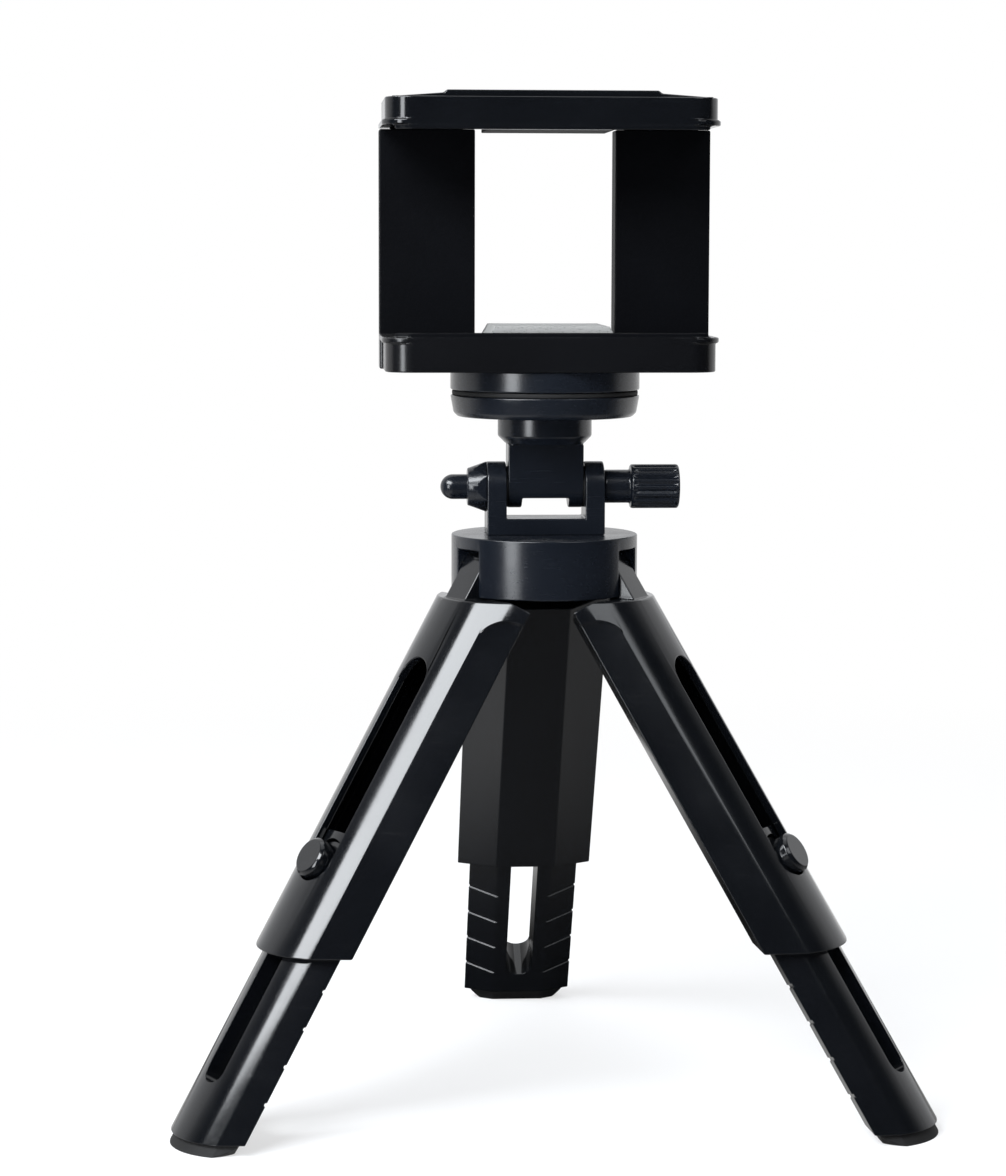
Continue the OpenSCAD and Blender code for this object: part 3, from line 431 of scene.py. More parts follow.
def moulding(name, colour, effects, rough, grain, depth, specular, rub=0.5, dust=0.05, polished_below=None):
    """A black moulded plastic or rubber: grain, tone drift, rubbed edges, hairlines and dust.

    Under the height polished_below it has a polished skin.
    """
    material, tree, shader, place = new_material(name)
    colour = tuple(colour)
    texture = use_group(tree, effects["grain"], place, Grain_Scale=grain)
    rubbed = use_group(tree, effects["rub"], place)
    dusty = use_group(tree, effects["dust"], place)
    lines = use_group(tree, effects["scratches"], place)
    drift = calc(tree, "MULTIPLY", texture.outputs["Tone"], 0.5)
    shade = tint(tree, drift, colour, scaled(colour, 1.55))
    worn = tuple(0.008 + 1.7 * part for part in colour)
    shade = tint(tree, calc(tree, "MULTIPLY", rubbed.outputs["Mask"], rub), shade, worn)
    shade = tint(tree, calc(tree, "MULTIPLY", dusty.outputs["Mask"], dust), shade, DUST_COLOUR)
    join(tree, shade, shader.inputs["Base Color"])
    gloss = ramp(tree, texture.outputs["Tone"], 0.0, 1.0, rough - 0.025, rough + 0.03, smooth=False)
    gloss = calc(tree, "MULTIPLY_ADD", lines.outputs["Mask"], 0.05, gloss)
    gloss = calc(tree, "MULTIPLY_ADD", rubbed.outputs["Mask"], -0.08 * rub, gloss)
    gloss = calc(tree, "MULTIPLY_ADD", dusty.outputs["Mask"], 4.0 * dust, gloss, clamp=True)
    join(tree, gloss, shader.inputs["Roughness"])
    add_relief(tree, shader, texture.outputs["Height"], 1.0, depth)
    shader.inputs["Specular IOR Level"].default_value = specular
    if polished_below is not None:
        fade = 0.4 * MM
        skin = ramp(tree, split(tree, place)["Z"], polished_below, polished_below + fade, 0.8, 0.0)
        join(tree, skin, shader.inputs["Coat Weight"])
        shader.inputs["Coat Roughness"].default_value = 0.22
    return material


def foam(name, colour, effects):
    """Closed-cell foam rubber: a skin of small open cells over a mottled grey, the cells' hollows darkened by
    painted shade.
    """
    material, tree, shader, place = new_material(name)
    colour = tuple(colour)
    cell_scale = 1500.0
    texture = use_group(tree, effects["grain"], place, Grain_Scale=cell_scale)
    dusty = use_group(tree, effects["dust"], place)
    cells = add_texture(tree, "ShaderNodeTexVoronoi", place, {"Scale": cell_scale}, feature="F1")
    hollow_shade_and_depth = ramp(tree, cells.outputs["Distance"], 0.12, 0.42)
    # The cells' hollows are darkened by painted shade, and sunk by the bump.
    shade = tint(tree, hollow_shade_and_depth, scaled(colour, 0.62), colour)
    shade = tint(tree, calc(tree, "MULTIPLY", texture.outputs["Tone"], 0.6), shade, scaled(colour, 1.25))
    shade = tint(tree, calc(tree, "MULTIPLY", dusty.outputs["Mask"], 0.10), shade, FOAM_DUST_COLOUR)
    join(tree, shade, shader.inputs["Base Color"])
    join(tree, ramp(tree, texture.outputs["Tone"], 0.0, 1.0, 0.78, 0.92), shader.inputs["Roughness"])
    height = calc(tree, "MULTIPLY_ADD", texture.outputs["Height"], 0.35, hollow_shade_and_depth)
    add_relief(tree, shader, height, 0.8, 0.08 * MM)
    shader.inputs["Specular IOR Level"].default_value = 0.25
    shader.inputs["Sheen Weight"].default_value = 0.15
    return material


def metal(name, colour, effects, rough):
    """Turned metal: hairlines, a slow drift of tone and lighter rubbed edges."""
    material, tree, shader, place = new_material(name)
    colour = tuple(colour)
    texture = use_group(tree, effects["grain"], place, Grain_Scale=3200.0)
    rubbed = use_group(tree, effects["rub"], place, Reach=0.3 * MM)
    lines = use_group(tree, effects["scratches"], place, Line_Scale=140.0)
    shade = tint(tree, texture.outputs["Tone"], scaled(colour, 0.78), colour)
    shade = tint(tree, rubbed.outputs["Mask"], shade, scaled(colour, 1.3))
    join(tree, shade, shader.inputs["Base Color"])
    gloss = ramp(tree, texture.outputs["Tone"], 0.0, 1.0, rough + 0.08, rough - 0.04)
    join(tree, calc(tree, "MULTIPLY_ADD", lines.outputs["Mask"], 0.14, gloss, clamp=True),
         shader.inputs["Roughness"])
    height = calc(tree, "MULTIPLY_ADD", lines.outputs["Mask"], -0.5, texture.outputs["Height"])
    add_relief(tree, shader, height, 0.5, 0.01 * MM)
    shader.inputs["Metallic"].default_value = 1.0
    return material


def make_finishes(finish):
    """All the finishes, by the material slot each one stands for."""
    effects = {
        "grain": make_moulded_grain(), "rub": make_edge_rub(),
        "dust": make_settled_dust(), "scratches": make_fine_scratches(),
    }
    return {
        "satin_plastic": moulding("satin_black_plastic", finish.satin_colour, effects, rough=0.23,
                                  grain=2400.0, depth=0.008 * MM, specular=0.45, dust=0.03),
        "gloss_plastic": moulding("gloss_black_plastic", finish.gloss_colour, effects, rough=0.13,
                                  grain=900.0, depth=0.003 * MM, specular=0.45, rub=0.3, dust=0.02),
        "matte_plastic": moulding("matte_black_plastic", finish.matte_colour, effects, rough=0.52,
                                  grain=2600.0, depth=0.03 * MM, specular=0.06,
                                  polished_below=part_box("column_cover_left")[0].z),
        "black_rubber": moulding("black_rubber", finish.rubber_colour, effects, rough=0.72,
                                 grain=1700.0, depth=0.05 * MM, specular=0.3, dust=0.07),
        "grey_foam_rubber": foam("grey_foam_rubber", finish.foam_colour, effects),
        "steel": metal("bright_zinc_steel", finish.steel_colour, effects, rough=0.26),
        "brass": metal("turned_brass", finish.brass_colour, effects, rough=0.24),
    }


FINISHES = {}


# Mesh helpers


def new_object(name, data):
    """A new object, linked to the scene."""
    made = bpy.data.objects.new(name, data)
    bpy.context.scene.collection.objects.link(made)
    return made


def add_piece(name, mesh, node, stretch=None):
    """Puts a finished mesh in the scene for a CAD node; a spring gives the two bodies and ends it joins."""
    piece = new_object(name, mesh)
    mesh.materials.clear()
    mesh.materials.append(FINISHES[SLOTS[node]])
    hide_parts(node)
    if stretch:
        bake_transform(piece, *stretch)
    else:
        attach(piece, body_of(NODES[node])[0])


def baked(base):
    """The evaluated mesh of an object with modifiers; the object itself is removed."""
    graph = bpy.context.evaluated_depsgraph_get()
    mesh = bpy.data.meshes.new_from_object(base.evaluated_get(graph), depsgraph=graph)
    bpy.data.objects.remove(base)
    return mesh


def merged_copy(node):
    """A CAD node's mesh with its loose triangles joined and its flat faces whole."""
    mesh = bpy.data.meshes.new(node + "_merged")
    work = bmesh.new()
    work.from_mesh(NODES[node].data)
    bmesh.ops.remove_doubles(work, verts=work.verts, dist=JOIN_DISTANCE)
    bmesh.ops.dissolve_limit(work, angle_limit=FLAT_ANGLE, verts=work.verts, edges=work.edges)
    for face in work.faces:
        face.smooth = True
    work.to_mesh(mesh)
    work.free()
    for label in [item.name for item in mesh.attributes if item.name in ("custom_normal", "sharp_edge")]:
        mesh.attributes.remove(mesh.attributes[label])
    return mesh


def with_modifier(name, mesh, kind, **settings):
    """A mesh as one modifier leaves it."""
    base = new_object(name, mesh)
    modifier = base.modifiers.new(name, kind)
    for setting, value in settings.items():
        setattr(modifier, setting, value)
    return baked(base)


def rounded_mesh(node, width):
    """A CAD node's mesh with its sharp edges rounded and its flat faces shaded flat.

    A corner that the rounding throws off the solid's surface goes back to it.
    """
    sharp = merged_copy(node)
    work = bmesh.new()
    work.from_mesh(sharp)
    surface = BVHTree.FromBMesh(work)
    work.free()
    mesh = with_modifier("rounding", sharp, "BEVEL", limit_method="ANGLE", angle_limit=ROUNDED_ANGLE,
                         width=width, segments=ROUNDING_SEGMENTS, use_clamp_overlap=False)
    for vert in mesh.vertices:
        spot, _, _, away = surface.find_nearest(vert.co)
        if away > STRAY_SHARE * width:
            vert.co = spot
    return with_modifier("shading", mesh, "WEIGHTED_NORMAL", weight=50)


def rounded_piece(node, width):
    """A CAD node with its sharp edges rounded, as the piece that stands for it."""
    add_piece(node + "_finish", rounded_mesh(node, width), node)


def point_mesh(name, points):
    """A mesh of loose points for a Geometry Nodes tree to build on."""
    mesh = bpy.data.meshes.new(name)
    mesh.from_pydata([tuple(point) for point in points], [], [])
    return mesh


def grown(name, mesh, tree, **inputs):
    """The plain mesh that a Geometry Nodes tree makes of a mesh, its inputs given by name."""
    base = new_object(name, mesh)
    growth = base.modifiers.new("growth", "NODES")
    growth.node_group = tree
    for item in tree.interface.items_tree:
        label = item.name.replace(" ", "_")
        if item.in_out == "INPUT" and label in inputs:
            growth[item.identifier] = inputs[label]
    return baked(base)


def islands(node):
    """Lowest and highest corner of each loose solid of a CAD node, in a fixed order."""
    work = bmesh.new()
    work.from_mesh(NODES[node].data)
    bmesh.ops.remove_doubles(work, verts=work.verts, dist=JOIN_DISTANCE)
    left = set(work.verts)
    boxes = []
    while left:
        reach = [left.pop()]
        found = list(reach)
        while reach:
            for edge in reach.pop().link_edges:
                for vert in edge.verts:
                    if vert in left:
                        left.remove(vert)
                        reach.append(vert)
                        found.append(vert)
        low = Vector(min(vert.co[axis] for vert in found) for axis in range(3))
        high = Vector(max(vert.co[axis] for vert in found) for axis in range(3))
        boxes.append((low, high))
    work.free()
    return sorted(boxes, key=lambda pair: tuple(round(part, 5) for part in pair[0]))


# Geometry Nodes trees


def end_tree(tree, geometry, out, given):
    """Closes a tree: instances made real, then the finish."""
    real = add_node(tree, "GeometryNodeRealizeInstances")
    join(tree, geometry, real.inputs["Geometry"])
    finish = add_node(tree, "GeometryNodeSetMaterial")
    join(tree, real.outputs["Geometry"], finish.inputs["Geometry"])
    join(tree, given.outputs["Finish"], finish.inputs["Material"])
    join(tree, finish.outputs["Geometry"], out.inputs["Geometry"])


def stand_on_points(tree, given, geometry):
    """Instances of a geometry on the points that the tree is given; returns the node."""
    stand = add_node(tree, "GeometryNodeInstanceOnPoints")
    join(tree, given.outputs["Geometry"], stand.inputs["Points"])
    join(tree, geometry, stand.inputs["Instance"])
    return stand


def along_z(tree, height):
    """A vector along Z; returns the output."""
    node = add_node(tree, "ShaderNodeCombineXYZ")
    join(tree, height, node.inputs["Z"])
    return node.outputs[0]


def lifted(tree, geometry, height):
    """A geometry moved along Z; returns the output."""
    node = add_node(tree, "GeometryNodeTransform")
    join(tree, geometry, node.inputs["Geometry"])
    join(tree, along_z(tree, height), node.inputs["Translation"])
    return node.outputs["Geometry"]


def point_place(tree):
    """Where a point is: the outputs of its X, Y and Z, and the vector to it from the Z axis."""
    axes = split(tree, add_node(tree, "GeometryNodeInputPosition").outputs["Position"])
    flat = add_node(tree, "ShaderNodeCombineXYZ")
    for axis in "XY":
        join(tree, axes[axis], flat.inputs[axis])
    return axes, flat.outputs[0]


def make_coil_tree():
    """Coil springs of round wire, one standing on each point."""
    tree, given, out = new_group(
        "coil_springs", "GeometryNodeTree",
        (("Geometry", GEOMETRY, None), ("Turns", FLOAT, 10.0),
         ("Coil Radius", FLOAT, 0.002), ("Wire Radius", FLOAT, 0.0003),
         ("Length", FLOAT, 0.02), ("Finish", MATERIAL, None)),
        (("Geometry", GEOMETRY),))
    spiral = add_node(tree, "GeometryNodeCurveSpiral", {"Resolution": 28})
    for source, target in (("Turns", "Rotations"), ("Coil Radius", "Start Radius"),
                           ("Coil Radius", "End Radius"), ("Length", "Height")):
        join(tree, given.outputs[source], spiral.inputs[target])
    ring = add_node(tree, "GeometryNodeCurvePrimitiveCircle", {"Resolution": 10})
    join(tree, given.outputs["Wire Radius"], ring.inputs["Radius"])
    wire = add_node(tree, "GeometryNodeCurveToMesh", {"Fill Caps": True})
    join(tree, spiral.outputs["Curve"], wire.inputs["Curve"])
    join(tree, ring.outputs["Curve"], wire.inputs["Profile Curve"])
    stand = stand_on_points(tree, given, wire.outputs["Mesh"])
    end_tree(tree, stand.outputs["Instances"], out, given)
    return tree


def make_screw_tree():
    """Pan-head screws with a cross recess, one on each point, the head at the point."""
    tree, given, out = new_group(
        "cross_screws", "GeometryNodeTree",
        (("Geometry", GEOMETRY, None), ("Shank Radius", FLOAT, 0.001),
         ("Shank Length", FLOAT, 0.006), ("Head Radius", FLOAT, 0.002),
         ("Head Height", FLOAT, 0.0015), ("Cross Width", FLOAT, 0.0005),
         ("Turn", VECTOR, None), ("Finish", MATERIAL, None)),
        (("Geometry", GEOMETRY),))
    head_radius, head_height = given.outputs["Head Radius"], given.outputs["Head Height"]
    shank_length, cross_width = given.outputs["Shank Length"], given.outputs["Cross Width"]
    head = add_node(tree, "GeometryNodeMeshCylinder",
                    {"Vertices": 36, "Side Segments": 4, "Fill Segments": 6}, fill_type="TRIANGLE_FAN")
    join(tree, head_radius, head.inputs["Radius"])
    join(tree, head_height, head.inputs["Depth"])
    axes, flat = point_place(tree)
    share = calc(tree, "DIVIDE", vector_calc(tree, "LENGTH", flat).outputs["Value"], head_radius)
    sink = calc(tree, "MULTIPLY", calc(tree, "POWER", share, 4.0), head_height)
    upper = calc(tree, "GREATER_THAN", axes["Z"], 0.0)
    drop = calc(tree, "MULTIPLY", calc(tree, "MULTIPLY", sink, -0.55), upper)
    domed = add_node(tree, "GeometryNodeSetPosition")
    join(tree, head.outputs["Mesh"], domed.inputs["Geometry"])
    join(tree, along_z(tree, drop), domed.inputs["Offset"])
    carved = add_node(tree, "GeometryNodeMeshBoolean", operation="DIFFERENCE")
    join(tree, domed.outputs["Geometry"], carved.inputs["Mesh 1"])
    cross_length = calc(tree, "MULTIPLY", head_radius, 1.15)
    cross_lift = calc(tree, "MULTIPLY", head_height, 0.45)
    for extents in ((cross_length, cross_width, head_height), (cross_width, cross_length, head_height)):
        size = add_node(tree, "ShaderNodeCombineXYZ")
        for axis, extent in zip("XYZ", extents):
            join(tree, extent, size.inputs[axis])
        arm = add_node(tree, "GeometryNodeMeshCube")
        join(tree, size.outputs[0], arm.inputs["Size"])
        join(tree, lifted(tree, arm.outputs["Mesh"], cross_lift), carved.inputs["Mesh 2"])
    seated = lifted(tree, carved.outputs["Mesh"], calc(tree, "MULTIPLY", head_height, 0.5))
    shank = add_node(tree, "GeometryNodeMeshCylinder", {"Vertices": 20})
    join(tree, given.outputs["Shank Radius"], shank.inputs["Radius"])
    join(tree, shank_length, shank.inputs["Depth"])
    hung = lifted(tree, shank.outputs["Mesh"], calc(tree, "MULTIPLY", shank_length, -0.5))
    whole = add_node(tree, "GeometryNodeJoinGeometry")
    for solid in (seated, hung):
        join(tree, solid, whole.inputs["Geometry"])
    stand = stand_on_points(tree, given, whole.outputs["Geometry"])
    spin = add_node(tree, "FunctionNodeEulerToRotation")
    join(tree, given.outputs["Turn"], spin.inputs[0])
    join(tree, spin.outputs[0], stand.inputs["Rotation"])
    end_tree(tree, stand.outputs["Instances"], out, given)
    return tree


def make_flute_tree():
    """Presses finger grooves into a drum that stands along Z, fading out at both ends."""
    tree, given, out = new_group(
        "knob_flutes", "GeometryNodeTree",
        (("Geometry", GEOMETRY, None), ("Flutes", FLOAT, 18.0),
         ("Radius", FLOAT, 0.0055), ("Depth", FLOAT, 0.0005),
         ("From", FLOAT, 0.0), ("To", FLOAT, 0.01),
         ("Finish", MATERIAL, None)),
        (("Geometry", GEOMETRY),))
    axes, flat = point_place(tree)
    angle = calc(tree, "ARCTAN2", axes["Y"], axes["X"])
    wave = calc(tree, "COSINE", calc(tree, "MULTIPLY", angle, given.outputs["Flutes"]))
    groove = calc(tree, "POWER", calc(tree, "MULTIPLY_ADD", wave, 0.5, 0.5), 1.6)
    reach = vector_calc(tree, "LENGTH", flat).outputs["Value"]
    rim = ramp(tree, calc(tree, "DIVIDE", reach, given.outputs["Radius"]), 0.8, 0.98)
    start = calc(tree, "SUBTRACT", axes["Z"], given.outputs["From"])
    stop = calc(tree, "SUBTRACT", given.outputs["To"], axes["Z"])
    fade = ramp(tree, calc(tree, "MINIMUM", start, stop), 0.0, 1.2 * MM)
    press = calc(tree, "MULTIPLY", calc(tree, "MULTIPLY", groove, rim), fade)
    press = calc(tree, "MULTIPLY", calc(tree, "MULTIPLY", press, given.outputs["Depth"]), -1.0)
    push = vector_calc(tree, "SCALE", vector_calc(tree, "NORMALIZE", flat).outputs["Vector"])
    join(tree, press, push.inputs["Scale"])
    moved = add_node(tree, "GeometryNodeSetPosition")
    join(tree, given.outputs["Geometry"], moved.inputs["Geometry"])
    join(tree, push.outputs["Vector"], moved.inputs["Offset"])
    end_tree(tree, moved.outputs["Geometry"], out, given)
    return tree


def spun(name, profile, steps):
    """A closed solid turned round Z from a profile of (radius, height) points that ends on the axis."""
    mesh = bpy.data.meshes.new(name)
    work = bmesh.new()
    rings = []
    for radius, height in profile:
        if radius == 0.0:
            rings.append([work.verts.new((0.0, 0.0, height))])
            continue
        rings.append([work.verts.new((radius * math.cos(2 * math.pi * step / steps),
                                      radius * math.sin(2 * math.pi * step / steps), height))
                      for step in range(steps)])
    for low, high in zip(rings, rings[1:]):
        for step in range(steps):
            after = (step + 1) % steps
            if len(low) == 1:
                corners = (low[0], high[after], high[step])
            elif len(high) == 1:
                corners = (low[step], low[after], high[0])
            else:
                corners = (low[step], low[after], high[after], high[step])
            work.faces.new(corners).smooth = True
    bmesh.ops.recalc_face_normals(work, faces=work.faces)
    work.to_mesh(mesh)
    work.free()
    return mesh


def eased(points, radius):
    """A profile with its corners rounded to a radius, its ends kept."""
    result = [points[0]]
    for before, corner, after in zip(points, points[1:], points[2:]):
        here = Vector(corner)
        back, ahead = Vector(before) - here, Vector(after) - here
        cut = min(radius, 0.45 * min(back.length, ahead.length))
        first, last = here + back.normalized() * cut, here + ahead.normalized() * cut
        for step in range(CORNER_STEPS + 1):
            share = step / CORNER_STEPS
            result.append(tuple(first.lerp(here, share).lerp(here.lerp(last, share), share)))
    result.append(points[-1])
    return result


TREES = {}


def screw_set(node, axis, side, turn, head_height):
    """Cross-head screws in place of a CAD node of plain ones.

    Their heads face one side of an axis, 1 or -1, and the turn brings Z there.
    """
    detail = bpy.context.scene.tripod_detail
    boxes = islands(node)
    low, high = boxes[0]
    radius = (high - low)[(axis + 1) % 3] / 2
    length = (high - low)[axis]
    heads = [(bottom + top) / 2 for bottom, top in boxes]
    for middle in heads:
        middle[axis] += side * (length / 2 - head_height)
    mesh = grown(node + "_points", point_mesh(node + "_points", heads), TREES["screws"],
                 Shank_Radius=0.52 * radius, Shank_Length=length - head_height, Head_Radius=radius,
                 Head_Height=head_height, Cross_Width=detail.cross_width, Turn=turn, Finish=FINISHES["steel"])
    add_piece(node + "_finish", mesh, node)


# Operators


class TRIPOD_OT_finishes(bpy.types.Operator):
    """Builds the surface effects, the finishes and the trees that the pieces use"""

    bl_idname = "tripod.finishes"
    bl_label = "Make Finishes"

    def execute(self, context):
        FINISHES.update(make_finishes(context.scene.tripod_finish))
        TREES.update(coils=make_coil_tree(), screws=make_screw_tree(), flutes=make_flute_tree())
        for node, piece in NODES.items():
            piece.data.materials.clear()
            piece.data.materials.append(FINISHES[SLOTS[node]])
        return {"FINISHED"}


class TRIPOD_OT_hub(bpy.types.Operator):
    """Rounds the hub and its base plate and puts cross-head screws under it"""

    bl_idname = "tripod.hub"
    bl_label = "Finish Hub"

    def execute(self, context):
        detail = context.scene.tripod_detail
        for node in ("hub_body", "hub_base_plate"):
            rounded_piece(node, detail.edge_round)
        screw_set("base_plate_screws", axis=2, side=-1, turn=(math.pi, 0.0, 0.4), head_height=1.3 * MM)
        return {"FINISHED"}


class TRIPOD_OT_tilt_joint(bpy.types.Operator):
    """Rounds the fork, knuckle and cap nut and turns the fluted thumb knob"""

    bl_idname = "tripod.tilt_joint"
    bl_label = "Finish Tilt Joint"

    def execute(self, context):
        detail = context.scene.tripod_detail
        rounded_piece("tilt_fork", detail.edge_round)
        rounded_piece("tilt_knuckle", detail.edge_round)
        rounded_piece("tilt_cap_nut", detail.small_round)
        self.turn_knob(detail)
        return {"FINISHED"}

    def turn_knob(self, detail):
        """A neck and a drum with finger grooves, along the tilt axis."""
        low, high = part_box("thumb_knob")
        radius = (high.z - low.z) / 2
        length = high.x - low.x
        neck = 0.356 * length
        neck_radius = 0.755 * radius
        bore = 2.0 * MM
        rim_radius = 0.70 * radius
        dish_radius = 0.62 * radius
        dish = length - 0.5 * MM
        corner_round = 0.7 * MM
        wall_step = 0.6 * MM
        flute_steps = 10
        outline = [(bore, 0.0), (neck_radius, 0.0), (neck_radius, neck), (radius, neck),
                   (radius, length), (rim_radius, length), (dish_radius, dish), (0.0, dish)]
        profile = eased(outline, corner_round)
        walls = []
        for first, last in zip(profile, profile[1:]):
            parts = max(1, round((Vector(last) - Vector(first)).length / wall_step))
            walls += [tuple(Vector(first).lerp(Vector(last), part / parts)) for part in range(parts)]
        walls.append(profile[-1])
        drum = spun("thumb_knob_drum", walls, detail.knob_flutes * flute_steps)
        mesh = grown("thumb_knob_drum", drum, TREES["flutes"], Flutes=float(detail.knob_flutes),
                     Radius=radius, Depth=detail.flute_depth, From=neck + 0.4 * MM, To=length - 0.2 * MM,
                     Finish=FINISHES["satin_plastic"])
        middle = (low + high) / 2
        mesh.transform(Matrix.Translation((low.x, middle.y, middle.z)) @ Matrix.Rotation(math.pi / 2, 4, "Y"))
        mesh.set_sharp_from_angle(angle=CREASE_ANGLE)
        add_piece("thumb_knob_finish", mesh, "thumb_knob")


class TRIPOD_OT_turntable(bpy.types.Operator):
    """Rounds the pan turntable's rings"""

    bl_idname = "tripod.turntable"
    bl_label = "Finish Turntable"

    def execute(self, context):
        detail = context.scene.tripod_detail
        for node in ("turntable_base", "turntable_top", "friction_ring"):
            rounded_piece(node, detail.edge_round)
        return {"FINISHED"}


class TRIPOD_OT_clamp(bpy.types.Operator):
    """Rounds the clamp's jaws, columns and pads, coils its springs and drives its cover screws"""

    bl_idname = "tripod.clamp"
    bl_label = "Finish Clamp"

    def execute(self, context):
        detail = context.scene.tripod_detail
        for node in ("clamp_frame", "upper_jaw"):
            rounded_piece(node, detail.edge_round)
        for node in ("column_cover_left", "column_cover_right", "lower_jaw_pad", "upper_jaw_pad"):
            rounded_piece(node, detail.small_round)
        for side in ("left", "right"):
            self.coil("clamp_spring_" + side)
        screw_set("cover_screws", axis=1, side=1, turn=(-math.pi / 2, 0.0, 0.0), head_height=0.75 * MM)
        return {"FINISHED"}

    def coil(self, node):
        """A round-wire spring in place of the CAD coil, which stretches as the upper jaw slides up."""
        low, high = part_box(node)
        wire = 0.375 * MM
        turns = 15.0
        middle = (low + high) / 2
        radius = (high.x - low.x) / 2 - wire
        mesh = grown(node + "_points", point_mesh(node + "_points", [(middle.x, middle.y, low.z + wire)]),
                     TREES["coils"], Turns=turns, Coil_Radius=radius, Wire_Radius=wire,
                     Length=high.z - low.z - 2 * wire, Finish=FINISHES["steel"])
        start, end = (middle.x, middle.y, low.z), (middle.x, middle.y, high.z)
        add_piece(node + "_finish", mesh, node, stretch=("clamp", "sliding_jaw", start, end))


class TRIPOD_OT_legs(bpy.types.Operator):
    """Rounds the three telescopic legs, their buttons and their feet"""

    bl_idname = "tripod.legs"
    bl_label = "Finish Legs"

    def execute(self, context):
        detail = context.scene.tripod_detail
        for side in LEGS:
            rounded_piece("leg_outer_" + side, detail.edge_round)
            rounded_piece("leg_inner_" + side, detail.small_round)
            rounded_piece("leg_button_" + side, detail.small_round)
            rounded_piece("foot_pad_" + side, detail.small_round)
            self.button_spring(side)
        return {"FINISHED"}

    def button_spring(self, side):
        """The spring under a leg's button, which shortens towards its inner end as the button is pressed."""
        node = "button_spring_" + side
        mesh = merged_copy(node)
        press = Vector(next(joint["axis"] for joint in frame["record"]["behaviour"]["joints"]
                            if joint["name"] == "button_press_" + side)).normalized()
        low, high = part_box(node)
        middle = (low + high) / 2
        reach = [(vert.co - middle).dot(press) for vert in mesh.vertices]
        start, end = middle + press * max(reach), middle + press * min(reach)
        add_piece(node + "_finish", mesh, node, stretch=("leg_slide_" + side, "button_" + side, start, end))


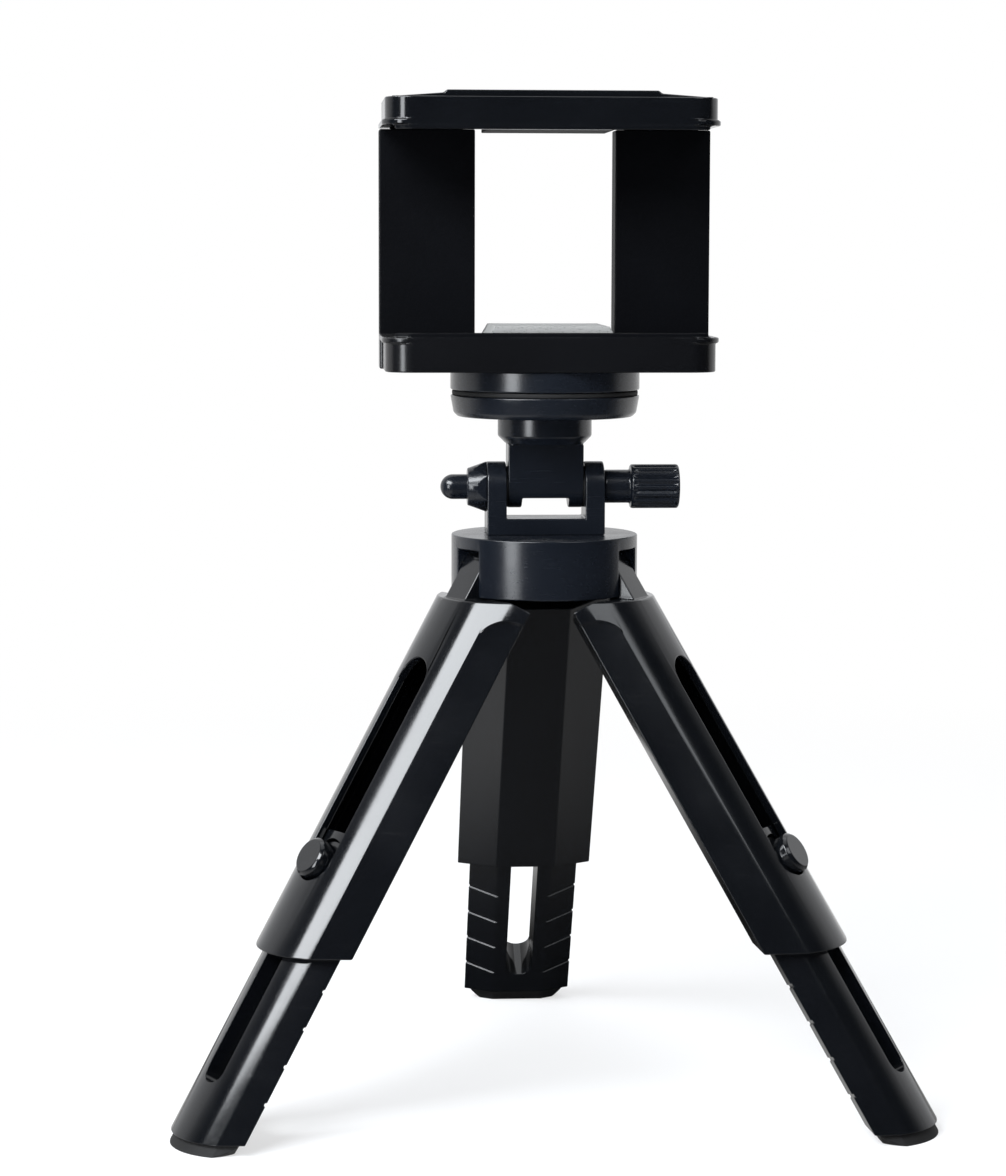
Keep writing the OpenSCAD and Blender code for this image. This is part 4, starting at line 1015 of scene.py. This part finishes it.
class TRIPOD_OT_stage(bpy.types.Operator):
    """Builds the floor, the soft lights, the pale surround and the camera"""

    bl_idname = "tripod.stage"
    bl_label = "Build Stage"

    def execute(self, context):
        stage = context.scene.tripod_stage
        context.scene.view_settings.view_transform = "Standard"
        self.build_floor(stage)
        self.build_surround(context, stage)
        self.build_lights(stage)
        self.build_camera(context, stage)
        return {"FINISHED"}

    def build_floor(self, stage):
        """A wide pale floor, which fades to white for the camera; in gloss it glows with a painted
        reflection, painted shadow under the tripod and painted light at its sides.
        """
        mesh = bpy.data.meshes.new("studio_floor")
        work = bmesh.new()
        bmesh.ops.create_circle(work, cap_ends=True, segments=96, radius=6.0)
        work.to_mesh(mesh)
        work.free()
        floor = new_object("studio_floor", mesh)
        material, tree, shader, place = new_material("pale_floor")
        shader.inputs["Base Color"].default_value = (*stage.floor_colour, 1.0)
        shader.inputs["Roughness"].default_value = 0.75
        shader.inputs["Specular IOR Level"].default_value = 0.1
        path = add_node(tree, "ShaderNodeLightPath").outputs
        away = vector_calc(tree, "DISTANCE", place, (0.0, AXIS_Y, 0.0)).outputs["Value"]
        # The gloss glow is a painted reflection of the floor, with painted shadow under the tripod and
        # painted light at its sides.
        painted_gloss_glow = add_node(tree, "ShaderNodeEmission", {"Color": WHITE})
        join(tree, self.painted_floor_reflection(tree, stage, place, away), painted_gloss_glow.inputs["Strength"])
        glow = add_node(tree, "ShaderNodeEmission", {"Color": WHITE, "Strength": 1.0})
        mirrored = calc(tree, "MAXIMUM", path["Is Glossy Ray"], path["Is Transmission Ray"])
        filmed = calc(tree, "MULTIPLY", ramp(tree, away, 0.16, 0.75, 0.60, 1.0), path["Is Camera Ray"])
        last = mix_shader(tree, mirrored, shader.outputs[0], painted_gloss_glow.outputs[0])
        last = mix_shader(tree, filmed, last, glow.outputs[0])
        target = next(node for node in tree.nodes if node.type == "OUTPUT_MATERIAL")
        join(tree, last, target.inputs["Surface"])
        mesh.materials.append(material)

    def painted_floor_reflection(self, tree, stage, place, away):
        """Glow of the floor in gloss, a painted reflection: painted shadow under the tripod and at its back,
        painted light at its sides, more on the left, dark far in front and white far to the back.
        """
        side_start, side_end = 0.02, 0.08
        # Painted light at the floor's sides, brighter on the left, and painted shadow in the middle under the
        # tripod.
        middle_lit, left_lit, right_lit = 0.14, 0.90, 0.42
        axes = split(tree, place)
        left = ramp(tree, axes["X"], -side_start, -side_end, middle_lit, left_lit)
        right = ramp(tree, axes["X"], side_start, side_end, middle_lit, right_lit)
        # Painted shadow at the back of the axis, under the back leg.
        painted_shadow_behind = ramp(tree, axes["Y"], AXIS_Y + 0.03, AXIS_Y + 0.11, 1.0, 0.05)
        painted_close_floor = calc(tree, "MULTIPLY", calc(tree, "MAXIMUM", left, right), painted_shadow_behind)
        backdrop = ramp(tree, axes["Y"], AXIS_Y - 0.10, AXIS_Y + 0.35, stage.room, 1.0)
        outer = ramp(tree, away, 0.14, 0.45)
        return calc(tree, "MULTIPLY_ADD", outer, calc(tree, "SUBTRACT", backdrop, painted_close_floor), painted_close_floor)

    def build_surround(self, context, stage):
        """An even light from all round, white to the camera and a dark room with a white end in gloss."""
        world = bpy.data.worlds.new("pale_surround")
        context.scene.world = world
        world.use_nodes = True
        tree = world.node_tree
        tree.nodes.clear()
        path = add_node(tree, "ShaderNodeLightPath").outputs
        around = add_node(tree, "ShaderNodeTexCoord").outputs["Generated"]
        backdrop = ramp(tree, split(tree, around)["Y"], -0.15, 0.45, stage.room, 1.0)
        mirrored = add_node(tree, "ShaderNodeBackground", {"Color": COOL_WHITE})
        join(tree, backdrop, mirrored.inputs["Strength"])
        soft = add_node(tree, "ShaderNodeBackground", {"Color": COOL_WHITE, "Strength": stage.ambient})
        white = add_node(tree, "ShaderNodeBackground", {"Color": WHITE, "Strength": 1.0})
        last = soft.outputs[0]
        for ray, shown in (("Is Glossy Ray", mirrored), ("Is Transmission Ray", mirrored),
                           ("Is Camera Ray", white)):
            last = mix_shader(tree, path[ray], last, shown.outputs[0])
        target = add_node(tree, "ShaderNodeOutputWorld")
        join(tree, last, target.inputs["Surface"])

    def add_light(self, name, power, wide, tall, azimuth, height, distance, aim):
        """A soft box at an azimuth in degrees, 0 in front and positive to the right, looking at a height."""
        data = bpy.data.lights.new(name, "AREA")
        data.shape = "RECTANGLE"
        data.size = wide
        data.size_y = tall
        data.energy = power
        data.color = LAMP_COLOUR
        light = new_object(name, data)
        side = math.radians(azimuth)
        light.location = (distance * math.sin(side), AXIS_Y - distance * math.cos(side), height)
        direction = Vector((0.0, AXIS_Y, aim)) - light.location
        light.rotation_euler = direction.to_track_quat("-Z", "Y").to_euler()

    def build_lights(self, stage):
        """The key, the fill, the low side card and the light overhead."""
        self.add_light("key_soft_box", stage.key_power, wide=0.92, tall=0.46,
                       azimuth=-45.0, height=0.86, distance=0.86, aim=0.12)
        self.add_light("fill_soft_box", stage.fill_power, wide=0.60, tall=0.45,
                       azimuth=36.0, height=0.86, distance=0.84, aim=0.12)
        self.add_light("side_card", stage.card_power, wide=0.26, tall=0.50,
                       azimuth=-44.0, height=0.22, distance=0.95, aim=0.20)
        self.add_light("top_soft_box", stage.top_power, wide=1.2, tall=1.2,
                       azimuth=180.0, height=1.6, distance=0.20, aim=0.0)

    def build_camera(self, context, stage):
        """The camera that the photo was taken with, as nearly as the outline tells."""
        data = bpy.data.cameras.new("photo_camera")
        data.sensor_fit = "VERTICAL"
        data.sensor_height = 24.0
        data.lens = stage.camera_lens
        data.clip_start = 0.01
        camera = new_object("photo_camera", data)
        turn = Matrix.Rotation(stage.camera_turn, 4, "Z")
        look = (turn @ Matrix.Rotation(stage.camera_yaw, 4, "Z")
                @ Matrix.Rotation(math.pi / 2 - stage.camera_pitch, 4, "X")
                @ Matrix.Rotation(stage.camera_roll, 4, "Z"))
        spot = turn @ Vector((0.0, -stage.camera_distance, stage.camera_height))
        camera.matrix_world = Matrix.Translation(Vector((0.0, AXIS_Y, 0.0)) + spot) @ look
        context.scene.camera = camera


STEPS = (TRIPOD_OT_finishes, TRIPOD_OT_hub, TRIPOD_OT_tilt_joint, TRIPOD_OT_turntable, TRIPOD_OT_clamp,
         TRIPOD_OT_legs, TRIPOD_OT_stage)


class TRIPOD_PT_sidebar(bpy.types.Panel):
    """Lists the tripod's settings and steps"""

    bl_idname = "TRIPOD_PT_sidebar"
    bl_label = "Table Tripod"
    bl_space_type = "VIEW_3D"
    bl_region_type = "UI"
    bl_category = "Tripod"

    def draw(self, context):
        scene = context.scene
        for settings in (scene.tripod_finish, scene.tripod_detail, scene.tripod_stage):
            box = self.layout.box()
            for name in settings.__annotations__:
                box.prop(settings, name)
        for step in STEPS:
            self.layout.operator(step.bl_idname)


CLASSES = (TripodFinish, TripodDetail, TripodStage, *STEPS, TRIPOD_PT_sidebar)


def register():
    for kind in CLASSES:
        bpy.utils.register_class(kind)
    bpy.types.Scene.tripod_finish = PointerProperty(type=TripodFinish)
    bpy.types.Scene.tripod_detail = PointerProperty(type=TripodDetail)
    bpy.types.Scene.tripod_stage = PointerProperty(type=TripodStage)


def unregister():
    for name in ("tripod_stage", "tripod_detail", "tripod_finish"):
        delattr(bpy.types.Scene, name)
    for kind in reversed(CLASSES):
        bpy.utils.unregister_class(kind)


def main():
    """Runs every step in order."""
    register()
    bpy.ops.tripod.finishes()
    bpy.ops.tripod.hub()
    bpy.ops.tripod.tilt_joint()
    bpy.ops.tripod.turntable()
    bpy.ops.tripod.clamp()
    bpy.ops.tripod.legs()
    bpy.ops.tripod.stage()


if __name__ == "__main__":
    main()
